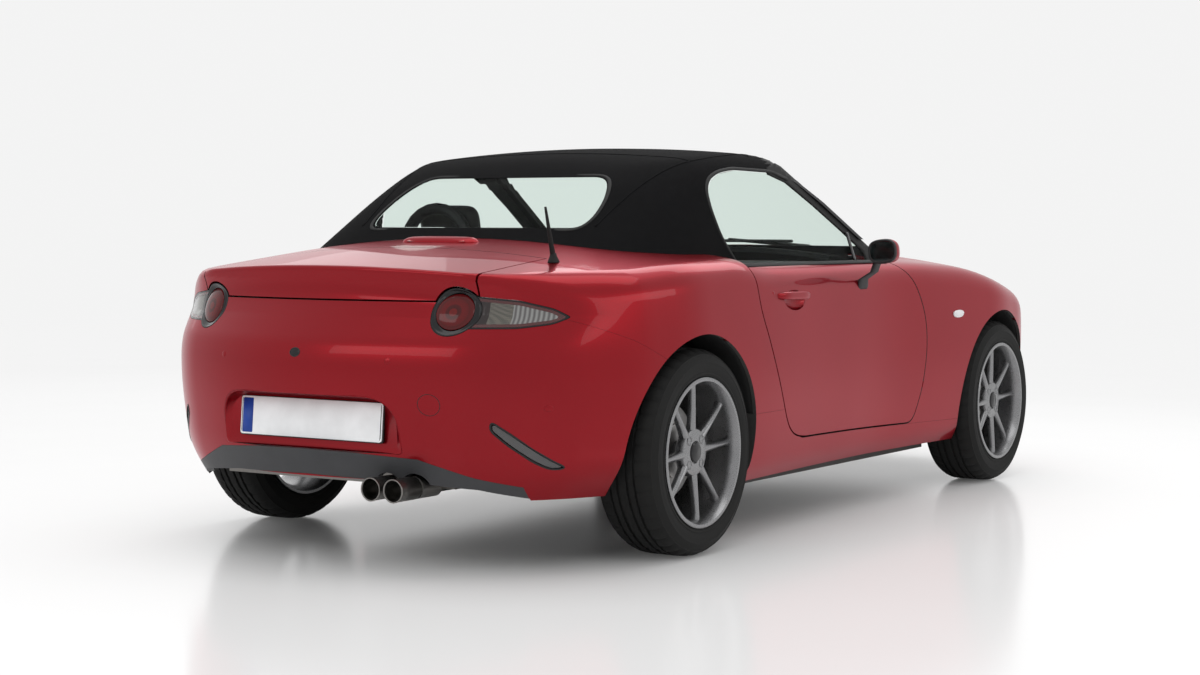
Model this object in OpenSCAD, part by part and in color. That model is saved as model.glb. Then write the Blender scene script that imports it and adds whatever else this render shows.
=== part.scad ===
/* [Overall] */
// Length from front bumper to rear bumper
car_length = 3915; // [3860:5:3970]
// Distance between the axles
wheelbase = 2310; // [2290:5:2330]
// Front bumper to front axle
front_overhang = 760; // [745:1:775]
// Greatest width of the body without its mirrors
body_width = 1732; // [1720:1:1745]

/* [Wheels] */
// Rolling radius of a tyre
tyre_radius = 308; // [300:1:312]
// Width of a tyre
tyre_width = 205; // [185:1:210]
// Radius where the tyre sits on its rim
bead_radius = 216; // [205:1:222]
// Distance between the front wheels' middle planes
front_track = 1495; // [1485:1:1500]
// Distance between the rear wheels' middle planes
rear_track = 1505; // [1495:1:1510]
// Brake disc radius
disc_radius = 140; // [120:1:150]
// Radius of the bore that takes a stub axle
hub_bore = 26; // [22:0.5:30]
// Wheel bolt hole radius
bolt_hole = 6.5; // [5:0.1:8]
// Pitch circle radius of the wheel bolts
bolt_pitch = 50; // [45:0.5:57]
// Steering axis, distance inboard of the wheel's middle plane
kingpin_inset = 60; // [59:1:70]

/* [Body] */
// Radius of the wheel arches
arch_radius = 350; // [345:1:355]
// Thickness of bumpers and wings
panel_wall = 12; // [8:0.5:16]
// Thickness of bonnet and boot lid
lid_wall = 22; // [16:0.5:26]
// Thickness of a whole door
door_wall = 100; // [80:1:110]
// Thickness of the soft top
cloth_wall = 14; // [10:0.5:18]
// Window glass thickness
glass_wall = 5; // [4:0.5:8]
// Round tail lamp radius
lamp_radius = 66; // [58:1:70]
// Exhaust tip radius
tip_radius = 32; // [26:0.5:36]
// Steering wheel radius
steering_radius = 183; // [170:1:190]
// Seat width
seat_width = 460; // [420:5:470]

/* [Clearances] */
// Gap round a door, the bonnet or the boot lid
shut_gap = 5; // [5:0.5:7]
// Seam between fixed panels
seam = 0.6; // [0.4:0.1:0.9]
// Gap between a piece and its seat
rest = 0.3; // [0.2:0.05:0.5]
// Running gap round turning pieces
run_gap = 5.1; // [5.1:0.1:7]

/* [Hidden] */
$fn = 64;

nose = car_length / 2;
front_x = nose - front_overhang;
rear_x = front_x - wheelbase;
half = body_width / 2;
axle_z = tyre_radius;
paint = "firebrick";
trim = "dimgray";

// ---- rounded profiles: [place, value, corner radius], straight between the corners ----
function step_at(p, i) = (p[i + 1][1] - p[i][1]) / (p[i + 1][0] - p[i][0]);
function profile(p) = [p[0][0], p[0][1], step_at(p, 0),
    [for (i = [1:len(p) - 2]) [p[i][0], step_at(p, i) - step_at(p, i - 1), p[i][2]]],
    [for (i = [1:len(p) - 2]) 1]];
function ramp(t, r) = t <= -r ? 0 : t >= r ? t
    : let (u = (t + r) / (2 * r)) 2 * r * u * u * u * (1 - u / 2);
function along(p, t) = p[1] + p[2] * (t - p[0]) + [for (k = p[3]) k[1] * ramp(t - k[0], k[2])] * p[4];
function clamp01(v) = max(0, min(1, v));
// soft maximum of two distances, r is the blend radius
function blend(a, b, r) = let (u = max(a + r, 0), v = max(b + r, 0))
    min(max(a, b), -r) + pow(pow(u, 2.5) + pow(v, 2.5), 0.4);

// ---- body surface: half width seen from above, middle line, tail and nose seen from the side ----
plan_line = profile([[-nose, half - 346, 1], [rear_x - 488, half - 124, 90], [rear_x - 318, half - 40, 90],
    [rear_x - 68, half, 130], [rear_x + 392, half - 16, 160], [-250, half - 42, 250],
    [250, half - 54, 250], [front_x - 498, half - 28, 160], [front_x - 18, half, 130],
    [front_x + 282, half - 40, 120], [front_x + 562, half - 176, 150], [nose, half - 346, 1]]);
middle_line = profile([[-nose - 33, 836, 1], [-nose + 102, 860, 60], [rear_x - 388, 901, 150],
    [rear_x - 8, 941, 150], [rear_x + 312, 944, 100], [-640, 922, 90], [-300, 914, 150], [600, 910, 150],
    [1000, 893, 200], [1400, 815, 200], [1750, 716, 150], [nose + 33, 600, 1]]);
tail_line = profile([[150, 117, 1], [260, 64, 40], [340, 35, 40], [520, 0, 80], [600, 0, 40],
    [648, 15, 22], [766, 105, 20], [800, 111, 30], [900, 91, 1]]);
nose_line = profile([[120, -107, 1], [200, -42, 50], [330, -12, 60], [480, 0, 60], [560, -7, 50],
    [700, -77, 1]]);
crown = 1.15e-4;
end_crown = 4.6e-4;
function body_half(x, z) = let (tail = clamp01((rear_x - 38 - x) / 150))
    along(plan_line, x) - 3e-4 * pow(z - 560, 2)
    - 0.45 * ramp(225 - z, 40) * (1 - tail) - 0.62 * ramp(300 - z, 60) * tail
    - 0.22 * ramp(z - 640, 60) * clamp01((rear_x - 288 - x) / 300);
function body_top(x, y) = along(middle_line, x) - crown * y * y;
function body_skin(q) = let (x = q[0], y = abs(q[1]), z = q[2],
        side = y - body_half(x, z),
        lip = max(clamp01((y - 470) / 170), clamp01((x + nose - 237) / 200)),
        round_end = x < 0
            ? blend(side, along(tail_line, z) - nose - x
                + (end_crown - 1.8e-4 * clamp01((z - 720) / 100)) * y * y, 120)
            : blend(side, x - nose - along(nose_line, z) + end_crown * y * y, 120))
    blend(round_end, z - body_top(x, y), 14 + 60 * lip);
// ---- soft top surface ----
roof_line = profile([[-1330, 842, 1], [-1170, 946, 30], [-905, 1122, 70], [-700, 1208, 140],
    [-420, 1240, 150], [-120, 1236, 130], [60, 1182, 60], [420, 905, 1]]);
function screen_x(y, z) = 596 - 2.06 * (z - 898) - 4.5e-4 * y * y;
function cabin_half(z) = 702 - 0.30 * (z - 860) - 1.5e-4 * pow(max(z - 1000, 0), 2);
function top_skin(q) = let (x = q[0], y = abs(q[1]), z = q[2],
        back = 1.5 * (z - 944) - 1180 + 4.5e-4 * pow(max(y - 200, 0), 2) - x)
    blend(blend(y - cabin_half(z), back, 300), z - along(roof_line, x) + 9e-5 * y * y, 80);

// distance along a ray from inside a skin to the skin; kind 0 is the body, 1 the soft top
function skin(q, kind) = kind == 0 ? body_skin(q) : top_skin(q);
function reach(o, d, kind = 0, lo = 0, hi = 1400, n = 15) = n == 0 ? (lo + hi) / 2
    : let (m = (lo + hi) / 2) skin(o + d * m, kind) < 0
        ? reach(o, d, kind, m, hi, n - 1) : reach(o, d, kind, lo, m, n - 1);
function hit(o, d, kind = 0) = o + d * reach(o, d, kind);
function side_y(x, z) = hit([x, 0, z], [0, 1, 0])[1];
function tail_x(y, z) = hit([-1000, y, z], [-1, 0, 0])[0];
function nose_x(y, z) = hit([1000, y, z], [1, 0, 0])[0];
function polar(az, el) = [cos(az) * cos(el), sin(az) * cos(el), sin(el)];
function pull(rows, dirs, t) = [for (i = [0:len(rows) - 1])
    [for (j = [0:len(rows[i]) - 1]) rows[i][j] - dirs[i][j] * t]];

// ---- a closed solid between two grids of points ----
module slab(a, b, flip = false) {
    n = len(a);
    m = len(a[0]);
    s = n * m;
    quads = concat(
        [for (i = [0:n - 2], j = [0:m - 2]) [i * m + j, i * m + j + 1, (i + 1) * m + j + 1, (i + 1) * m + j]],
        [for (i = [0:n - 2], j = [0:m - 2]) [s + i * m + j, s + (i + 1) * m + j, s + (i + 1) * m + j + 1, s + i * m + j + 1]],
        [for (j = [0:m - 2]) [j + 1, j, s + j, s + j + 1]],
        [for (j = [0:m - 2]) let (k = (n - 1) * m + j) [k, k + 1, s + k + 1, s + k]],
        [for (i = [0:n - 2]) let (k = i * m) [k, k + m, s + k + m, s + k]],
        [for (i = [0:n - 2]) let (k = i * m + m - 1) [k + m, k, s + k, s + k + m]]);
    polyhedron(concat([for (r = a) each r], [for (r = b) each r]),
        [for (q = quads) each flip ? [[q[0], q[2], q[1]], [q[0], q[3], q[2]]] : [[q[0], q[1], q[2]], [q[0], q[2], q[3]]]]);
}
// one mesh for a trimmed shell
module shell() { resize([0, 0, 0]) children(); }
module both_sides() { children(); mirror([0, 1, 0]) children(); }
// extrudes an x-z outline through the width, and a y-z outline through the length
module through_y(from = -1000, to = 1000) { translate([0, to, 0]) rotate([90, 0, 0]) linear_extrude(to - from) children(); }
module through_x(from, to) { translate([from, 0, 0]) rotate([90, 0, 90]) linear_extrude(to - from) children(); }

door_outline = [[-760, 848], [-752, 790], [-740, 715], [-650, 550], [-555, 390], [-520, 345], [-470, 312],
    [-400, 298], [0, 290], [300, 282], [462, 278], [488, 300], [525, 400], [546, 550], [534, 665],
    [480, 767], [400, 848]];
module door_area(grow = 0) { offset(delta = grow) polygon(concat(door_outline, grow > 0 ? [[395, 1200], [-765, 1200]] : [])); }
// seen from above, half of the bonnet: [x, y]
bonnet_edge = [[698, 0], [690, 160], [664, 330], [622, 480], [560, 628], [760, 648], [1100, 652],
    [1400, 630], [1600, 585], [1740, 500], [1830, 370], [1872, 200], [1884, 0]];
bonnet_swing = 4.5;
module bonnet_area(grow = 0) { offset(delta = grow) union() { polygon(bonnet_edge); mirror([0, 1]) polygon(bonnet_edge); } }
lid_front = rear_x - 318;
lid_half = 500;
lid_drop = 766;
lamp_y = 445;
lamp_z = 735;
module lid_area(grow = 0) {
    translate([-nose - 50, -lid_half - grow]) square([lid_front + nose + 50 + grow, 2 * (lid_half + grow)]);
}
// x-z outlines of the two bumpers and the sills
tail_outline = [[-nose - 60, 100], [rear_x - 200, 100], [rear_x - 190, 588], [rear_x - 330, 652],
    [rear_x - 488, 708], [-nose + 190, lid_drop - shut_gap], [-nose - 60, lid_drop - shut_gap]];
nose_outline = [[nose + 60, 100], [front_x + 200, 100], [front_x + 200, 540], [front_x + 300, 560],
    [front_x + 420, 596], [front_x + 560, 640], [nose + 60, 668]];
sill_bottom = 185;
sill_outline = [[rear_x + 300, sill_bottom], [rear_x + 300, 398], [-560, 396], [-520, 360], [-470, 318], [-400, 292],
    [0, 284], [300, 276], [480, 272], [front_x - 300, 262], [front_x - 300, sill_bottom]];
lamp_outline = [[486, 585], [520, 622], [610, 652], [712, 672], [728, 658], [690, 628], [600, 596], [520, 576]];
mouth_outline = [[-430, 245], [-400, 400], [-330, 440], [330, 440], [400, 400], [430, 245], [350, 215], [-350, 215]];
plate_z = 424;
plate_x = -nose + 72;
recess_outline = [[-320, 340], [-320, 445], [-270, 500], [270, 500], [320, 445], [320, 340]];
valance_outline = [[-600, 212], [-600, 246], [-500, 274], [-360, 325], [-180, 338], [0, 341], [180, 338],
    [360, 325], [500, 274], [600, 246], [600, 212], [500, 240], [300, 260], [0, 268], [-300, 260], [-500, 240]];
function arch_x(front) = front ? front_x : rear_x;
module arch_cut(front, r = arch_radius) {
    for (s = [1, -1]) translate([arch_x(front), s * 720, axle_z]) rotate([90, 0, 0]) cylinder(r = r, h = 500, center = true);
}

module well_cut(front) { intersection() { arch_cut(front, arch_radius + 18 + seam); cube([5000, 2 * (768 + seam), 3000], center = true); } }

// ---- grids of skin points ----
function across_dirs(xs, angles) = [for (x = xs) [for (g = angles) [0, cos(g), sin(g)]]];
function across(xs, angles, z0, kind = 0) = [for (x = xs) [for (g = angles) hit([x, 0, z0], [0, cos(g), sin(g)], kind)]];
function level_dirs(zs, az) = [for (z = zs) [for (g = az) [cos(g), sin(g), 0]]];
function level(x0, zs, az) = [for (z = zs) [for (g = az) hit([x0, 0, z], [cos(g), sin(g), 0])]];
function deck_dirs(xs, ys) = [for (x = xs) [for (y = ys) [0, 0, 1]]];
function deck(xs, ys) = [for (x = xs) [for (y = ys) hit([x, y, 300], [0, 0, 1])]];

quarter_at = [rear_x - 38, 0, 520];
quarter_az = [48, 56, 64, 74, 84, 94, 104, 114, 123, 131, 138, 145, 152, 160, 170, 180];
quarter_el = [-24, -15, -6, 2, 9, 14, 18, 21, 24, 27, 31, 37, 46, 58, 72, 89];
module quarter_slab(out, wall) {
    dirs = [for (a = quarter_az) [for (e = quarter_el) polar(a, e)]];
    skin_rows = [for (row = dirs) [for (d = row) hit(quarter_at, d)]];
    slab(pull(skin_rows, dirs, -out), pull(skin_rows, dirs, wall));
}
fender_xs = [370, 460, 560, 670, 780, 890, 1000, 1110, 1220, 1330, 1430, 1520, 1600, 1665, 1720];
fender_angles = [-22, -14, -6, 0, 6, 11, 15, 18, 21, 24, 27, 30, 34, 39];
module fender_slab(out, wall) {
    rows = across(fender_xs, fender_angles, 450);
    dirs = across_dirs(fender_xs, fender_angles);
    slab(pull(rows, dirs, -out), pull(rows, dirs, wall), true);
}
tail_zs = [180, 215, 255, 300, 350, 410, 470, 530, 590, 625, 645, 665, 700, 740, 775];
tail_az = [for (g = [-84:7:84]) 180 + g];
module tail_slab(wall, zs = tail_zs, az = tail_az) {
    rows = level(rear_x - 138, zs, az);
    slab(rows, pull(rows, level_dirs(zs, az), wall), true);
}
nose_zs = [150, 190, 230, 280, 340, 400, 460, 520, 570, 610, 640, 665];
nose_az = [for (g = [-84:7:84]) g];
module nose_slab(wall, zs = nose_zs, az = nose_az) {
    rows = level(front_x + 150, zs, az);
    slab(rows, pull(rows, level_dirs(zs, az), wall), true);
}

// ---- fixed panels ----
module front_fenders() {
    color(paint) both_sides() shell() difference() {
        union() {
            fender_slab(0, panel_wall);
            for (x = [front_x - 420, front_x + 20]) translate([x - 20, 470 + seam, 700]) cube([40, side_y(x, 710) - 470 - seam - 5, 20]);
        }
        through_y() door_area(shut_gap);
        arch_cut(true);
        for (x = [0, bonnet_swing]) translate([x, 0, 600]) linear_extrude(500) bonnet_area(shut_gap);
        through_y() offset(delta = seam) polygon(nose_outline);
        through_y() offset(delta = seam) polygon(sill_outline);
        through_x(1200, nose) offset(delta = seam) polygon(lamp_outline);
        translate([300, -900, 100]) cube([front_x - 560 - 300, 900 + 657, 900]);
        translate([300, -900, 100]) cube([1700, 1800, sill_bottom - 100]);
    }
}
module rear_quarters() {
    color(paint) shell() both_sides() {
        lid_rest();
        difference() {
        union() {
            quarter_slab(0, panel_wall);
            for (x = [rear_x + 380, rear_x - 400]) translate([x - 20, 620 + seam, 690]) cube([40, side_y(x, 700) - 620 - seam - 5, 20]);
        }
        through_y() door_area(shut_gap);
        arch_cut(false);
        through_y() offset(delta = seam) polygon(tail_outline);
        through_y() offset(delta = seam) polygon(sill_outline);
        translate([0, 0, 600]) linear_extrude(500) lid_area(shut_gap);
        through_x(-nose - 50, -nose + 500) lamp_cut(seam);
        translate([0, 0, 600]) linear_extrude(500) polygon([[-1130, -1], [-1130, 380], [-1080, 500],
            [-960, 610], [-800, 655], [-700, 662], [-300, 665], [-300, -1]]);
        translate([-2100, -500, 0]) cube([2100, 499.99, 1200]);
        translate([-800, 0, 600]) cube([800, 660, 400]);
        translate([-2100, 0, 0]) cube([900, lid_half, lid_drop + 60]);
        translate([-2100, -10, 0]) cube([2100, 1000, sill_bottom]);
        }
    }
}
// tab under the edge of the boot lid
module lid_rest() {
    d = [cos(70), 0, sin(70)];
    under = hit([rear_x - 500, lid_half, 740], d) - d * lid_wall;
    translate([under[0] - 5, lid_half - 15, under[2] - 1.1 - rest - 8]) cube([10, 42, 8]);
    translate([under[0] - 5, lid_half + 9, under[2] - 8.5]) cube([10, 18, 18.5]);
}
// rear view of one tail lamp: round lens and pointed tail
module lamp_cut(grow = 0) {
    offset(delta = grow) for (s = [1, -1]) {
        translate([s * lamp_y, lamp_z]) circle(lamp_radius, $fn = 40);
        polygon([[s * (lamp_y + 20), lamp_z + 48], [s * 690, lamp_z - 6], [s * 700, lamp_z - 14], [s * 690, lamp_z - 22], [s * (lamp_y + 20), lamp_z - 44]]);
    }
}
module sills() {
    xs = [for (x = [rear_x + 300:145:front_x - 275]) x];
    angles = [-34, -30, -26, -22, -18, -14, -10, -6];
    rows = across(xs, angles, 470);
    color(paint) both_sides() shell() {
        through_y(787, 797) polygon([[-200, 280], [-200, 294 - rest], [0, 290 - rest], [0, 280]]);
        difference() {
        intersection() {
            slab(rows, pull(rows, across_dirs(xs, angles), 100), true);
            through_y() polygon(sill_outline);
        }
        arch_cut(true);
        arch_cut(false);
        well_cut(true);
        well_cut(false);
        through_y() door_area(shut_gap);
        translate([-1500, -1000, 0]) cube([3000, 1000 + 690 + seam, 700]);
        }
    }
}
module front_bumper() {
    color(paint) shell() difference() {
        union() {
            nose_slab(panel_wall);
            intersection() {
                nose_slab(110);
                through_x(nose - 130, nose + 20) offset(delta = 8) polygon(mouth_outline);
            }
            for (s = [1, -1]) translate([1650 + seam, s * 400 - 30, 500]) cube([nose_x(400, 510) - 1656, 60, 20]);
        }
        through_x(1200, nose + 20) polygon(mouth_outline);
        arch_cut(true);
        well_cut(true);
        for (x = [0, bonnet_swing]) translate([x, 0, 560]) linear_extrude(500) bonnet_area(shut_gap);
        difference() {
            translate([1000, -1000, 0]) cube([1200, 2000, 1000]);
            through_y() polygon(nose_outline);
        }
        through_x(1200, nose + 20) offset(delta = seam) both_lamps();
        translate([1200, -1000, 0]) cube([2000, 2000, 168]);
        marker_cuts(seam);
    }
}
module both_lamps() { polygon(lamp_outline); mirror([1, 0]) polygon(lamp_outline); }
module headlamps() {
    ys = [for (y = [470:30:740]) y];
    zs = [for (z = [565:20:685]) z];
    rows = [for (z = zs) [for (y = ys) hit([1100, y, z], [1, 0, 0])]];
    color("lightgray") both_sides() shell() difference() {
        intersection() {
            slab(rows, [for (r = rows) [for (p = r) p - [60, 0, 0]]], true);
            through_x(1200, nose + 20) polygon(lamp_outline);
        }
        for (x = [0, bonnet_swing]) translate([x, 0, 560]) linear_extrude(500) bonnet_area(shut_gap);
    }
}
module rear_bumper() {
    color(paint) shell() difference() {
        union() {
            tail_slab(panel_wall);
            intersection() {
                tail_slab(100);
                through_x(-nose - 20, plate_x + 20) offset(delta = 8) polygon(recess_outline);
            }
            for (s = [1, -1]) translate([-1830, s * 400 - 30, 560]) cube([1830 - 1700 - seam, 60, 20]);
            for (s = [1, -1]) translate([tail_x(400, 570) + 5, s * 400 - 30, 560]) cube([-1825 - tail_x(400, 570), 60, 20]);
        }
        through_x(-nose - 20, plate_x + 10) polygon(recess_outline);
        arch_cut(false);
        well_cut(false);
        difference() {
            translate([-2100, -1000, 0]) cube([900, 2000, 1000]);
            through_y() polygon(tail_outline);
        }
        through_x(-nose - 20, -1500) union() {
            offset(delta = seam) polygon(valance_outline);
            polygon([[-560, 100], [-560, 236], [-300, 262], [300, 262], [560, 236], [560, 100]]);
        }
        through_x(-nose - 50, -nose + 500) lamp_cut(seam);
        translate([-2100, -1000, 0]) cube([900, 2000, 206]);
        marker_cuts(seam);
    }
}
module rear_valance() {
    zs = [195, 225, 260, 300, 345];
    az = [for (g = [-55:5:55]) 180 + g];
    color(trim) shell() intersection() {
        tail_slab(30, zs, az);
        through_x(-nose - 20, -1500) difference() {
            polygon(valance_outline);
            hull() for (y = tip_ys) translate([y, tip_z]) circle(tip_radius + 8, $fn = 32);
        }
    }
}
module tail_lamps() {
    ys = [for (y = [370:32:722]) y];
    zs = [for (z = [660:25:810]) z];
    rows = [for (z = zs) [for (y = ys) hit([-1000, y, z], [-1, 0, 0])]];
    color("darkred") {
        both_sides() shell() intersection() {
            slab(rows, [for (r = rows) [for (p = r) p + [55, 0, 0]]]);
            through_x(-nose - 50, -nose + 500) lamp_cut();
        }
        high_brake_lamp();
    }
}
module high_brake_lamp() {
    x = rear_x - 150;
    z = body_top(x, 0) - 4 * rest + 0.3;
    hull() for (s = [1, -1]) {
        translate([x - 26, s * 130, z]) cylinder(r = 8, h = 6, $fn = 16);
        translate([x + 22, s * 130, z + 4]) cylinder(r = 8, h = 12, $fn = 16);
    }
}
// reflectors low in the rear bumper and daytime lamps low in the front bumper: y-z outlines
slash_outline = [[560, 436], [600, 400], [676, 322], [700, 300], [668, 296], [640, 318], [590, 370], [556, 410]];
day_outline = [[520, 420], [640, 400], [660, 330], [640, 300], [560, 330]];
module marker_cuts(grow) {
    for (s = [0, 1]) mirror([0, s, 0]) {
        through_x(-nose - 20, -1400) offset(delta = grow) polygon(slash_outline);
        through_x(1400, nose + 20) offset(delta = grow) polygon(day_outline);
    }
}
module marker_lamps() {
    ys = [for (y = [500:45:725]) y];
    zs = [for (z = [285:40:445]) z];
    back = [for (z = zs) [for (y = ys) hit([-1000, y, z], [-1, 0, 0])]];
    front = [for (z = zs) [for (y = ys) hit([1000, y, z], [1, 0, 0])]];
    color("gainsboro") both_sides() {
        shell() intersection() {
            slab(back, [for (r = back) [for (p = r) p + [30, 0, 0]]]);
            through_x(-nose - 20, -1400) polygon(slash_outline);
        }
        shell() intersection() {
            slab(front, [for (r = front) [for (p = r) p - [30, 0, 0]]], true);
            through_x(1400, nose + 20) polygon(day_outline);
        }
    }
}
module grille() {
    color("black") translate([nose - 128, 0, 0]) rotate([90, 0, 90]) linear_extrude(14) difference() {
        offset(delta = -seam) polygon(mouth_outline);
        for (z = [240:32:410]) translate([-370, z]) square([740, 22]);
    }
}
module number_plate() {
    color("white") translate([plate_x + 10 - rest - 6, 0, plate_z]) translate([0, -260, -55]) cube([6, 520, 110]);
}

// ---- moving panels ----
module bonnet() {
    xs = [540, 600, 660, 740, 830, 930, 1040, 1150, 1260, 1370, 1480, 1590, 1690, 1770, 1830, 1870, 1892];
    ys = [-670, -620, -560, -480, -380, -260, -130, 0, 130, 260, 380, 480, 560, 620, 670];
    rows = deck(xs, ys);
    color(paint) shell() intersection() {
        slab(rows, pull(rows, deck_dirs(xs, ys), lid_wall));
        translate([0, 0, 500]) linear_extrude(600) bonnet_area();
    }
}
module boot_lid() {
    ys = [for (y = [-520:80:520]) y];
    angles = [38, 44, 52, 60, 72, 84, 98, 112, 124, 134, 140, 143, 146, 150, 156, 162, 168, 174, 180, 186];
    dirs = [for (y = ys) [for (g = angles) [cos(g), 0, sin(g)]]];
    rows = [for (i = [0:len(ys) - 1]) [for (d = dirs[i]) hit([rear_x - 500, ys[i], 740], d)]];
    color(paint) shell() difference() {
        intersection() {
            slab(rows, pull(rows, dirs, lid_wall), false);
            translate([0, 0, lid_drop]) linear_extrude(300) lid_area();
        }
        through_x(-nose - 50, -nose + 500) for (s = [1, -1]) translate([s * lamp_y, lamp_z]) circle(lamp_radius + shut_gap + 0.4, $fn = 40);
    }
}
belt = 848;
module door(left) {
    xs = [for (x = [-800:100:600]) x];
    zs = [270, 310, 380, 460, 540, 620, 690, 740, 780, 810, 832, belt + 0.01];
    rows = [for (x = xs) [for (z = zs) [x, side_y(x, z), z]]];
    thin = [for (r = rows) [for (p = r) p - [0, 22, 0]]];
    thick = [for (r = rows) [for (p = r) [p[0], min(p[1] - 45, half - door_wall - 54), p[2]]]];
    color(paint) mirror([0, left ? 0 : 1, 0]) shell() difference() {
        union() {
            intersection() { slab(rows, thin, true); through_y() door_area(); }
            intersection() { slab(rows, thick, true); through_y() difference() { offset(delta = -25) polygon(door_outline); } }
            intersection() { slab(rows, thick, true); translate([-735, 600, belt - 60]) cube([1100, 300, 60]); }
            door_handle();
        }
        translate([-900, 0, belt]) cube([1800, 1000, 200]);
    }
}
module door_handle() {
    y = side_y(-490, 757);
    hull() {
        translate([-610, y + 14, 757]) sphere(10, $fn = 10);
        translate([-370, y + 14, 752]) sphere(10, $fn = 10);
    }
    for (x = [-600, -380]) translate([x - 8, y - 12, 747]) cube([16, 26, 16]);
}
glass_outline = [[-622, belt + rest], [-690, 940], [-712, 1022], [-696, 1080], [-655, 1118], [-590, 1142],
    [-500, 1154], [-240, 1150], [-150, 1130], [20, 1050], [190, 962], [300, 900], [330, belt + rest]];
module door_glass(left) {
    zs = [belt - 10, 900, 950, 1000, 1050, 1090, 1130, 1170];
    rows = [for (x = [-760, 380]) [for (z = zs) [x, cabin_half(z) - 6, z]]];
    color("lightblue") mirror([0, left ? 0 : 1, 0]) shell() intersection() {
        slab(rows, [for (r = rows) [for (p = r) p - [0, glass_wall, 0]]], true);
        through_y() polygon(glass_outline);
    }
}
mirror_x = 20;
module door_mirror(left) {
    y = side_y(mirror_x + 40, 765) + rest;
    color(paint) mirror([0, left ? 0 : 1, 0]) {
        hull() {
            translate([mirror_x - 50, 866, 888]) rotate([0, 90, 0]) cylinder(r = 40, h = 40, $fn = 24);
            translate([mirror_x - 50, 918, 896]) rotate([0, 90, 0]) cylinder(r = 40, h = 40, $fn = 24);
            translate([mirror_x + 20, 866, 888]) sphere(32, $fn = 16);
            translate([mirror_x + 20, 908, 894]) sphere(30, $fn = 16);
        }
        hull() {
            translate([mirror_x, 862, 856]) cube([40, 24, 10]);
            translate([mirror_x + 20, y, 765]) cube([56, 12, 30]);
        }
    }
}

// ---- windscreen ----
screen_low = 905;
screen_high = 1172;
function screen_side(z) = 655 - (z - screen_low) * 0.30;
function screen_grid(zs, lo, hi, forward) = [for (z = zs) [for (k = [0:12])
    let (y = lo * screen_side(z) + (hi - lo) * screen_side(z) * k / 12) [screen_x(y, z) + forward, y, z]]];
module windscreen() {
    zs = [for (k = [0:4]) screen_low + (screen_high - screen_low) * k / 4];
    color("lightblue") shell() slab(screen_grid(zs, -1, 1, 0), screen_grid(zs, -1, 1, -glass_wall * 2.3), true);
}
module windscreen_frame() {
    post_zs = [for (k = [0:5]) 850 + (screen_high + 26 - 850) * k / 5];
    color(trim) shell() difference() {
        union() {
            for (s = [0, 1]) mirror([0, s, 0]) slab(
                [for (z = post_zs) [for (k = [0, 18, 36]) let (y = screen_side(z) + rest + k) [screen_x(y, z) + 6 - k / 3, y, z]]],
                [for (z = post_zs) [for (k = [0, 18, 36]) let (y = screen_side(z) + rest + k) [screen_x(y, z) - 34, y, z]]], true);
            head_zs = [screen_high + rest, screen_high + 26];
            slab(screen_grid(head_zs, -1.01, 1.01, 4), screen_grid(head_zs, -1.01, 1.01, -34), true);
            cowl_xs = [for (x = [390:45:705]) x];
            cowl_ys = [-656, -560, -440, -300, -150, 0, 150, 300, 440, 560, 656];
            rows = deck(cowl_xs, cowl_ys);
            intersection() {
                slab(pull(rows, deck_dirs(cowl_xs, cowl_ys), 12), pull(rows, deck_dirs(cowl_xs, cowl_ys), 30));
                translate([0, 0, 600]) linear_extrude(500) difference() {
                    translate([0, -654]) square([760, 1308]);
                    polygon([for (y = [-660:60:660]) [screen_x(y, screen_low) - 60, y]]);
                    bonnet_area(shut_gap + 1.5);
                    translate([-300, -700]) square([660, 1400]);
                }
            }
            intersection() {
                slab(screen_grid([845, screen_low - rest], -1, 1, -2), screen_grid([845, screen_low - rest], -1, 1, -34), true);
                translate([300, -653, 800]) cube([500, 1306, 200]);
            }
        }
        mirror([0, 1, 0]) fender_slab(rest, 60);
        fender_slab(rest, 60);
        for (s = [0, 1]) mirror([0, s, 0]) through_y(650, 1000) offset(delta = shut_gap) polygon(concat(door_outline, [[395, 900], [340, 925], [0, 925]]));
    }
}
module wipers() {
    color("black") for (p = [[-330, 260], [230, 560]]) {
        y0 = p[0];
        y1 = p[1];
        x0 = screen_x(y0, screen_low) + 54;
        z0 = body_top(x0, y0) - 12 + 3 * rest;
        low = [screen_x(y0 + 60, 915) + 36, y0 + 60, 921];
        high = [screen_x(y1, 915) + 36, y1, 921];
        translate([x0, y0, z0]) cylinder(r = 12, h = 18);
        hull() {
            translate([x0, y0, z0 + 16]) sphere(8, $fn = 10);
            translate((low + high) / 2 + [0, 0, 5]) sphere(6, $fn = 10);
        }
        hull() {
            translate(low) sphere(6, $fn = 10);
            translate(high) sphere(6, $fn = 10);
        }
    }
}

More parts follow.
